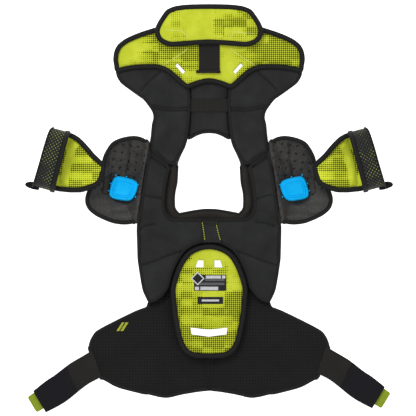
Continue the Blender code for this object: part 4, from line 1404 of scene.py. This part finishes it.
def shoulder_cap(name, side):
    body = f"cap_{name}"
    outer = stretch(CAP_RIM, (141, 147), (232, 99))
    outer = np.vstack([outer, stretch(CAP_RIM, (233, 96), (167, -30))])
    seat = curve([(158.5, -35), (156.5, -15), (150.5, 18), (144.5, 62), (139.5, 95), (133.8, 120),
                  (132, 135), (131, 148)])
    rim = sided(np.vstack([outer, seat]), side)
    crease = curve([(173, 145), (176, 122), (179, 98), (184, 78)]) * (side, 1)
    step = curve([(232, 82), (238, 66), (240, 50)]) * (side, 1)

    def relief(x, y):
        x = side * x
        strip = 2.2 * (x < 174 - (144 - y) * -0.14) * (y > 72)
        cup = 1.6 * np.exp(-(((x - 200) / 30) ** 2 + ((y - 40) / 30) ** 2) ** 2)
        ripple = 0.9 * np.sin(y / 3.4 + 0.5 * np.sin(x / 11)) * (y < 12) * (y > -26)
        return strip - cup + ripple

    foam = pad(f"cap_foam_{name}", "perforated_foam", [rim], over_dome(11.5, side), over_dome(6.0, side),
               pitch=4.5,
               roll=4, crown=2.2, reach=14, creases=[crease, step], groove=2.8, groove_width=2.2,
               relief=relief)
    settle(foam, body, nodes=(f"cap_liner_{name}",))
    top = surface_of(foam)
    shell = pad(f"cap_cup_{name}", "black_plastic_visual", [inset(rim, 2)], over_dome(4.4, side),
                over_dome(0.0, side),
                pitch=6, roll=1.5, crown=0)
    settle(shell, body, nodes=(f"cap_shell_{name}",))
    edge = resampled(np.vstack([[(133, 147)], outer, [(160, -33)]]) * (side, 1), 2.6)
    ring = tape(f"cap_edging_{name}", "binding_tape",
                np.column_stack([edge, over_dome(9.0, side)(*edge.T)]), 9.5, 9.0,
                closed=False)
    settle(ring, body, nodes=(f"cap_binding_{name}",))
    line = inset(rim, 8.0)
    row = stitches(f"cap_stitches_{name}", "stitch_black", on_surface(top, line, 0.1), 3.8, 2.8, 0.35)
    settle(row, body)
    lug(name, side, body)
    points = np.array([(223, 30), (234, 34), (229, 68), (218, 64)], float) * (side, 1)
    webbing = pad(f"webbing_tab_{name}", "elastic_pale", [polygon(points)], over_dome(17.0, side),
                  over_dome(13.0, side), pitch=5,
                  roll=1.2, crown=0.8, reach=4)
    add_layer(webbing, "across", rest_of(webbing)[:, 1])
    settle(webbing, body, nodes=(f"guard_webbing_{name}",))


LUG_RIM = joined([(203, 72), (190, 68.5), (168, 63), (160, 60)],
                 [(160, 60), (155, 56), (155.5, 47), (159, 36), (165, 22)],
                 [(165, 22), (170, 15.5), (178, 14.5), (198, 17.5), (214, 20)],
                 [(214, 20), (220.5, 23.5), (221, 32), (217, 48), (211, 66)],
                 [(211, 66), (208.5, 71), (203, 72)], pitch=1.8)


def lug(name, side, body):
    """The moulded blue rubber square that snaps through the cap, with rings stepped up towards its
    middle."""
    loop = sided(smoothed(LUG_RIM, 44), side)

    def rise(x, y):
        edge = distance_to(np.column_stack([x, y]), loop)
        wall = 4.2 * np.clip(edge / 2.4, 0, 1)
        ring = 1.3 * np.exp(-(((edge - 8.2) / 1.2) ** 2)) + 1.0 * np.exp(-(((edge - 12.8) / 1.0) ** 2))
        dip = -0.9 * np.exp(-(((edge - 5.4) / 1.1) ** 2)) - 0.7 * np.exp(-(((edge - 10.6) / 0.9) ** 2))
        return wall + ring + dip - 1.3 * (1 - np.exp(-((np.maximum(edge - 15, 0) / 4) ** 2)))

    def base(x, y):
        return 24.6 + 0.3 * (221.0 - side * x) + rise(x, y)

    fine = [inset(loop, step) for step in (2.6, 4.2, 5.4, 6.8, 8.2, 9.4, 10.6, 11.7, 12.8, 14.2)]
    extra = np.vstack([resampled(line, 1.8, True) for line in fine])
    block = pad(f"blue_lug_{name}", "blue_rubber", [loop], base, over_dome(14.5, side), pitch=3.0,
                roll=1.6, crown=0,
                extra=extra)
    settle(block, body, nodes=(f"cap_lug_{name}",))
    for number, place in enumerate(((181.5, 68.5), (205, 72.5), (156, 51), (161.5, 24.5), (216.5, 54),
                                    (221, 38))):
        x, y = place[0] * side, place[1]
        ring = np.array([(x + 1.5 * math.cos(a), y + 1.5 * math.sin(a))
                         for a in np.linspace(0, 2 * np.pi, 14)[:-1]])
        level = 25.5 + 0.3 * (221.0 - place[0])
        nub = pad(f"lug_nub_{name}_{number}", "blue_rubber", [ring], level, level - 6, pitch=2, roll=0.9,
                  crown=0.4, reach=2)
        settle(nub, body)


# ---------------------------------------------------------------- bicep guards

BAND_FROM, BAND_TO = 97.0, 145.0
BAND_MIDDLE, BAND_HALF = -6.5, 66.5
BAND_FOOT, BAND_RISE = 46.0, 38.0
GUARD_TIP = np.array([229.0, 84.0])
GUARD_TURN = math.radians(14.8)
GUARD_UPPER_EDGE = [(0, 6), (5, 12), (14, 17), (34, 28), (48, 38), (60, 46), (74, 54), (88, 58), (150, 58)]
GUARD_LOWER_EDGE = [(0, -20), (4, -30), (11.5, -42), (24.5, -52), (40, -61), (62, -67), (87, -71),
                    (150, -71)]


def guard_place(u, share, trim=0.0):
    """(u, v, z) on the left guard's outer face: u along the arm, share from -1 to 1 across, trim in from
    the edge."""
    u = np.asarray(u, float)
    high = np.interp(u, *np.array(GUARD_UPPER_EDGE, float).T)
    low = np.interp(u, *np.array(GUARD_LOWER_EDGE, float).T)
    middle, half = (high + low) / 2, (high - low) / 2
    v = share * (half - trim)
    lowest = 4.7 + 40 * (1 - ease((u - 15) / 95))
    rise = 3 + 45 * ease(u / 110)
    return u, middle + v, lowest + rise * np.abs(v / half) ** 2.4


def guard_short(u, share):
    """The cushion's outer end, drawn in under the band, more at its upper corner."""
    return np.where(u > BAND_FROM, BAND_FROM + (u - BAND_FROM) * (0.80 - 0.055 * share), u)


def guard_out(u, v, z, side):
    """From along the arm, across it and up, to the frame."""
    cos, sin = math.cos(GUARD_TURN), math.sin(GUARD_TURN)
    x = GUARD_TIP[0] + u * cos - v * sin
    return np.stack([x * side, GUARD_TIP[1] + u * sin + v * cos, np.broadcast_to(z, np.shape(x))], -1)


def guard_grid(stations, shares, side, trim=0.0, lift=0.0):
    """A grid over the guard's outer face, raised by lift, and each point's own (u, v)."""
    u, share = np.meshgrid(stations, shares, indexing="ij")
    u, v, z = guard_place(u, share, trim)
    return guard_out(guard_short(u, share), v, z + lift, side), np.stack([u, v], -1)


def guard_print_and_shade(u, v):
    value = 1.25 * ease((71 - u) / 8) - 0.5
    # Painted shade: denser dots in a band near u = 92, beside the mesh band, stand for the dark crescent of
    # shade in the hollow there.
    value += 1.6 * np.exp(-(((u - 92) / 4.5) ** 2)) * ease((45 - np.abs(v + 8)) / 20)
    return value


def bicep_guard(name, side):
    body = f"guard_{name}"
    stations = np.concatenate([np.arange(9, 100, 2.6), np.arange(101, 143, 4)])
    shares = np.linspace(-1, 1, 45)
    grid, weave = guard_grid(stations, shares, side, trim=7.0)
    u, v = weave[..., 0], weave[..., 1]
    bow = u + 0.0016 * v ** 2
    fold = 5.0 * np.exp(-(((bow - 78) / 7.0) ** 2)) - 5.0 * np.exp(-(((bow - 91) / 4.0) ** 2))
    fold += 1.6 * np.exp(-(((u - 70) / 16) ** 2))
    thick = 9.0 + fold + 1.5 * np.cos(shares * np.pi / 2)
    thick *= np.minimum(1, 0.45 + 0.55 * np.clip((1 - np.abs(shares)) / 0.12, 0, 1) ** 0.5)
    # The cushion takes the brighter lime copy, painted light on its shaded face.
    cushion = sheet_solid(f"guard_cushion_{name}", "lime_lit_copy", grid, side * thick * -1, weave,
                          guard_print_and_shade(u, v))
    settle(cushion, body, nodes=(f"bicep_pad_{name}",))
    grid, weave = guard_grid(np.linspace(8, 143, 44), np.linspace(-1, 1, 40), side, trim=5.5, lift=-0.1)
    backing = sheet_solid(f"guard_backing_{name}", "black_liner", grid, side * 1.2, weave)
    settle(backing, body)
    grid, weave = guard_grid(np.linspace(32, 146, 30), np.linspace(-0.66, 0.66, 30), side, lift=-1.6)
    shell = sheet_solid(f"guard_shell_{name}", "black_plastic_visual", grid, side * 2.8, weave)
    settle(shell, body, nodes=(f"bicep_shell_{name}",))
    trim = 4.6
    ups = np.arange(7, 144, 2.4)
    top_run = np.stack(guard_place(ups, np.ones(len(ups)), trim), -1)
    cap = np.linspace(0.95, -0.95, 40)
    end_run = np.stack(guard_place(np.full(len(cap), 146.5), cap, trim), -1)
    low_run = np.stack(guard_place(ups[::-1], -np.ones(len(ups)), trim), -1)
    tips = np.linspace(-0.8, 0.8, 10)
    tip_run = np.stack(guard_place(3.4 + 2.2 * tips ** 2, tips, trim), -1)
    ring = np.vstack([top_run, end_run, low_run, tip_run])
    ring = smoothed(resampled(ring, 2.2, True), 2)
    path = guard_out(guard_short(ring[:, 0], ring[:, 1] / 65), ring[:, 1], ring[:, 2] + 4.6, side)
    edge = tape(f"guard_binding_{name}", "binding_tape", path, 11.5, 10.5)
    settle(edge, body, nodes=(f"bicep_binding_{name}",))
    band(name, side)


def band_place(turn, grow=0.0):
    """The inner face of the mesh band that closes a guard over the arm. turn runs from 0 to pi."""
    wide = BAND_HALF + grow + 2.0 * (turn > np.pi / 2) * np.abs(np.cos(turn))
    v = BAND_MIDDLE + wide * np.sign(np.cos(turn)) * np.abs(np.cos(turn)) ** 0.6
    return v, BAND_FOOT + (BAND_RISE + grow) * np.sin(turn) ** 0.75


def band_station(u, turn):
    """Where along the arm a point of the band is: the band narrows towards its upper foot."""
    narrow = 0.10 * (1 + np.cos(turn)) / 2 + 0.16 * np.exp(-((turn / 0.45) ** 2))
    return BAND_FROM - 2 + (u - BAND_FROM) * (1 - narrow)


def band(name, side):
    body = f"band_{name}"
    turns = np.linspace(0.0, np.pi, 72)
    stations = np.linspace(BAND_FROM - 1, BAND_TO + 1, 24)
    u, turn = np.meshgrid(stations, turns, indexing="ij")
    v, z = band_place(turn)
    taper = 3.0 * np.sin(turn) ** 2 * (u - BAND_FROM) / (BAND_TO - BAND_FROM)
    wave = 0.7 * np.sin(v / 9.0 + u / 17.0) * np.sin(turn)
    walked = np.cumsum(np.concatenate([[0], np.hypot(np.diff(v[0]), np.diff(z[0]))]))
    weave = np.stack([u, np.broadcast_to(walked, u.shape)], -1)
    grid = guard_out(band_station(u, turn), v, z + wave - taper * 0.3, side)
    strap = sheet_solid(f"mesh_band_{name}", "strap_mesh", grid, -2.8 * side, weave)
    settle(strap, body, nodes=(f"bicep_strap_{name}",))
    for part, station, width in (("inner", BAND_FROM + 4.5, 11.0), ("outer", BAND_TO, 3.0)):
        spots = turns[5:-4] if part == "inner" else turns[5:-5]
        v, z = band_place(spots, 1.6)
        path = guard_out(band_station(np.full(len(spots), station), spots), v, z + 0.4, side)
        rim = banner(f"band_binding_{part}_{name}", "binding_tape", path, width, 3.4, side)
        settle(rim, body)
    rim = smoothed(joined([(372, 39), (374, 48), (379, 55), (388, 58), (397, 58), (403, 55), (405, 51)],
                          [(405, 51), (402, 47), (393, 43), (383, 40), (372, 39)]), 3)
    tab = pad(f"band_tab_{name}", "hook_tape", [sided(rim, side)], 57.0, 50.0, pitch=4, roll=2.4,
              crown=1.0, reach=5)
    settle(tab, body, nodes=(f"bicep_strap_tab_{name}",))


def banner(name, material, path, width, thick, side):
    """Flat binding along a path that arches over the arm, its width lying along the arm."""
    arm = np.array([math.cos(GUARD_TURN) * side, math.sin(GUARD_TURN), 0.0])
    along = np.gradient(path, axis=0)
    along /= np.linalg.norm(along, axis=1)[:, None]
    out = np.cross(along, arm)
    out /= np.linalg.norm(out, axis=1)[:, None]
    wide, tall = section(width, thick, 0.5)
    points = path[:, None] + arm[None, None] * wide[None, :, None] + out[:, None] * tall[None, :, None]
    walked = np.concatenate([[0], np.cumsum(np.linalg.norm(np.diff(path, axis=0), axis=1))])
    count = len(path)
    layers = {"along": np.repeat(walked, RING), "across": np.tile(wide, count)}
    made = new_object(name, points.reshape(-1, 3), tube_faces(count, False), material, layers, 60)
    return facing_out(made)


def facing_out(piece):
    """Turns a closed piece's faces outwards if they point in."""
    mesh = piece.data
    volume = 0.0
    for face in mesh.polygons:
        corners = [mesh.vertices[i].co for i in face.vertices]
        for b, c in zip(corners[1:], corners[2:]):
            volume += corners[0].dot(b.cross(c))
    if volume < 0:
        mesh.flip_normals()
    return piece


# ---------------------------------------------------------------- under side

def carriers():
    """The nylon-covered foam that carries the plates, and the webbing that joins caps to the yoke."""
    rim = loops_of("chest_carrier")
    piece = pad("chest_carrier_pad", "eva_foam", rim, top_of("chest_carrier") - 0.4,
                bottom_of("chest_carrier"), pitch=9,
                roll=3, crown=0)
    settle(piece, "chest", nodes=("chest_carrier",))
    rim = loops_of("back_carrier")
    kept = rim[0][rim[0][:, 1] > -166]
    start = int(np.argmax(np.linalg.norm(np.diff(np.vstack([kept, kept[:1]]), axis=0), axis=1))) + 1
    rim[0] = np.roll(kept, -start, 0)
    piece = pad("back_carrier_pad", "eva_foam", rim, top_of("back_carrier") - 0.4,
                bottom_of("back_carrier"), pitch=9,
                roll=3, crown=0)
    settle(piece, "back", nodes=("back_carrier",))
    for name, side in SIDES.items():
        rim = loops_of(f"kidney_plate_{name}")[0]
        piece = pad(f"kidney_foam_{name}", "eva_foam", [rim], lambda x, y: wing_height(x, y) - 10.7,
                    lambda x, y: wing_height(x, y) - 14.6, pitch=9, roll=1.5, crown=0)
        settle(piece, f"wing_{name}", nodes=(f"kidney_plate_{name}",))
        points = np.array([(104, 34), (162, 26), (166, 64), (108, 72)], float) * (side, 1)
        rim = polygon(points)

        def low(x, y):
            share = ease((side * x - 128) / 34)
            return (0.6 + arch(y)) * (1 - share) + (dome(side * x, y) - 4.0) * share

        piece = pad(f"cap_hinge_{name}", "elastic", [rim], lambda x, y: low(x, y) + 3.2, low, pitch=4,
                    roll=0.8, crown=0)
        add_layer(piece, "across", rest_of(piece)[:, 1])
        settle(piece, ("yoke", f"cap_{name}"),
               nodes=(f"cap_hinge_strap_{name}",))


def gussets():
    """Soft strips that close the gap between the trunk's edge and the caps, either side of the webbing
    hinge."""
    trunk = curve([(157, -35.5), (155, -15), (149, 18), (143, 62), (138, 95), (132, 121.5), (129.5, 145)],
                  0.8)
    for name, side in SIDES.items():
        for part, start, end in (("rear", -34.0, 34.8), ("front", 65.0, 146.5)):
            edge = trunk[(trunk[:, 1] > start) & (trunk[:, 1] < end)]
            tuck = np.where(edge[:, 1] < 126, 3.0, -0.2)
            near = np.column_stack([edge[:, 0] - tuck, edge[:, 1]])
            far = np.column_stack([edge[:, 0] + 6.0, edge[:, 1] + 0.4])
            rim = sided(np.vstack([near, far[::-1]]), side)
            strip = pad(f"cap_gusset_{part}_{name}", "stitch_black", [rim], 39.0, 35.5, pitch=4, roll=1.0,
                        crown=0)
            settle(strip, ("yoke", f"cap_{name}"))


def plates():
    """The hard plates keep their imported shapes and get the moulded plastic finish."""
    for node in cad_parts.values():
        if not node.hide_render:
            for place in node.material_slots:
                place.material = MATERIALS["black_plastic"]


# ---------------------------------------------------------------- assembly

MATERIALS = make_materials()
add_studio()
add_camera()
back_quilt()
collar_lining()
back_loop()
spine_pad()
chest_quilts()
chest_panel()
throat()
belly_flap()
belt()
wing_mark()
belly_straps()
for side_name, side_sign in SIDES.items():
    shoulder_cap(side_name, side_sign)
    bicep_guard(side_name, side_sign)
carriers()
gussets()
plates()
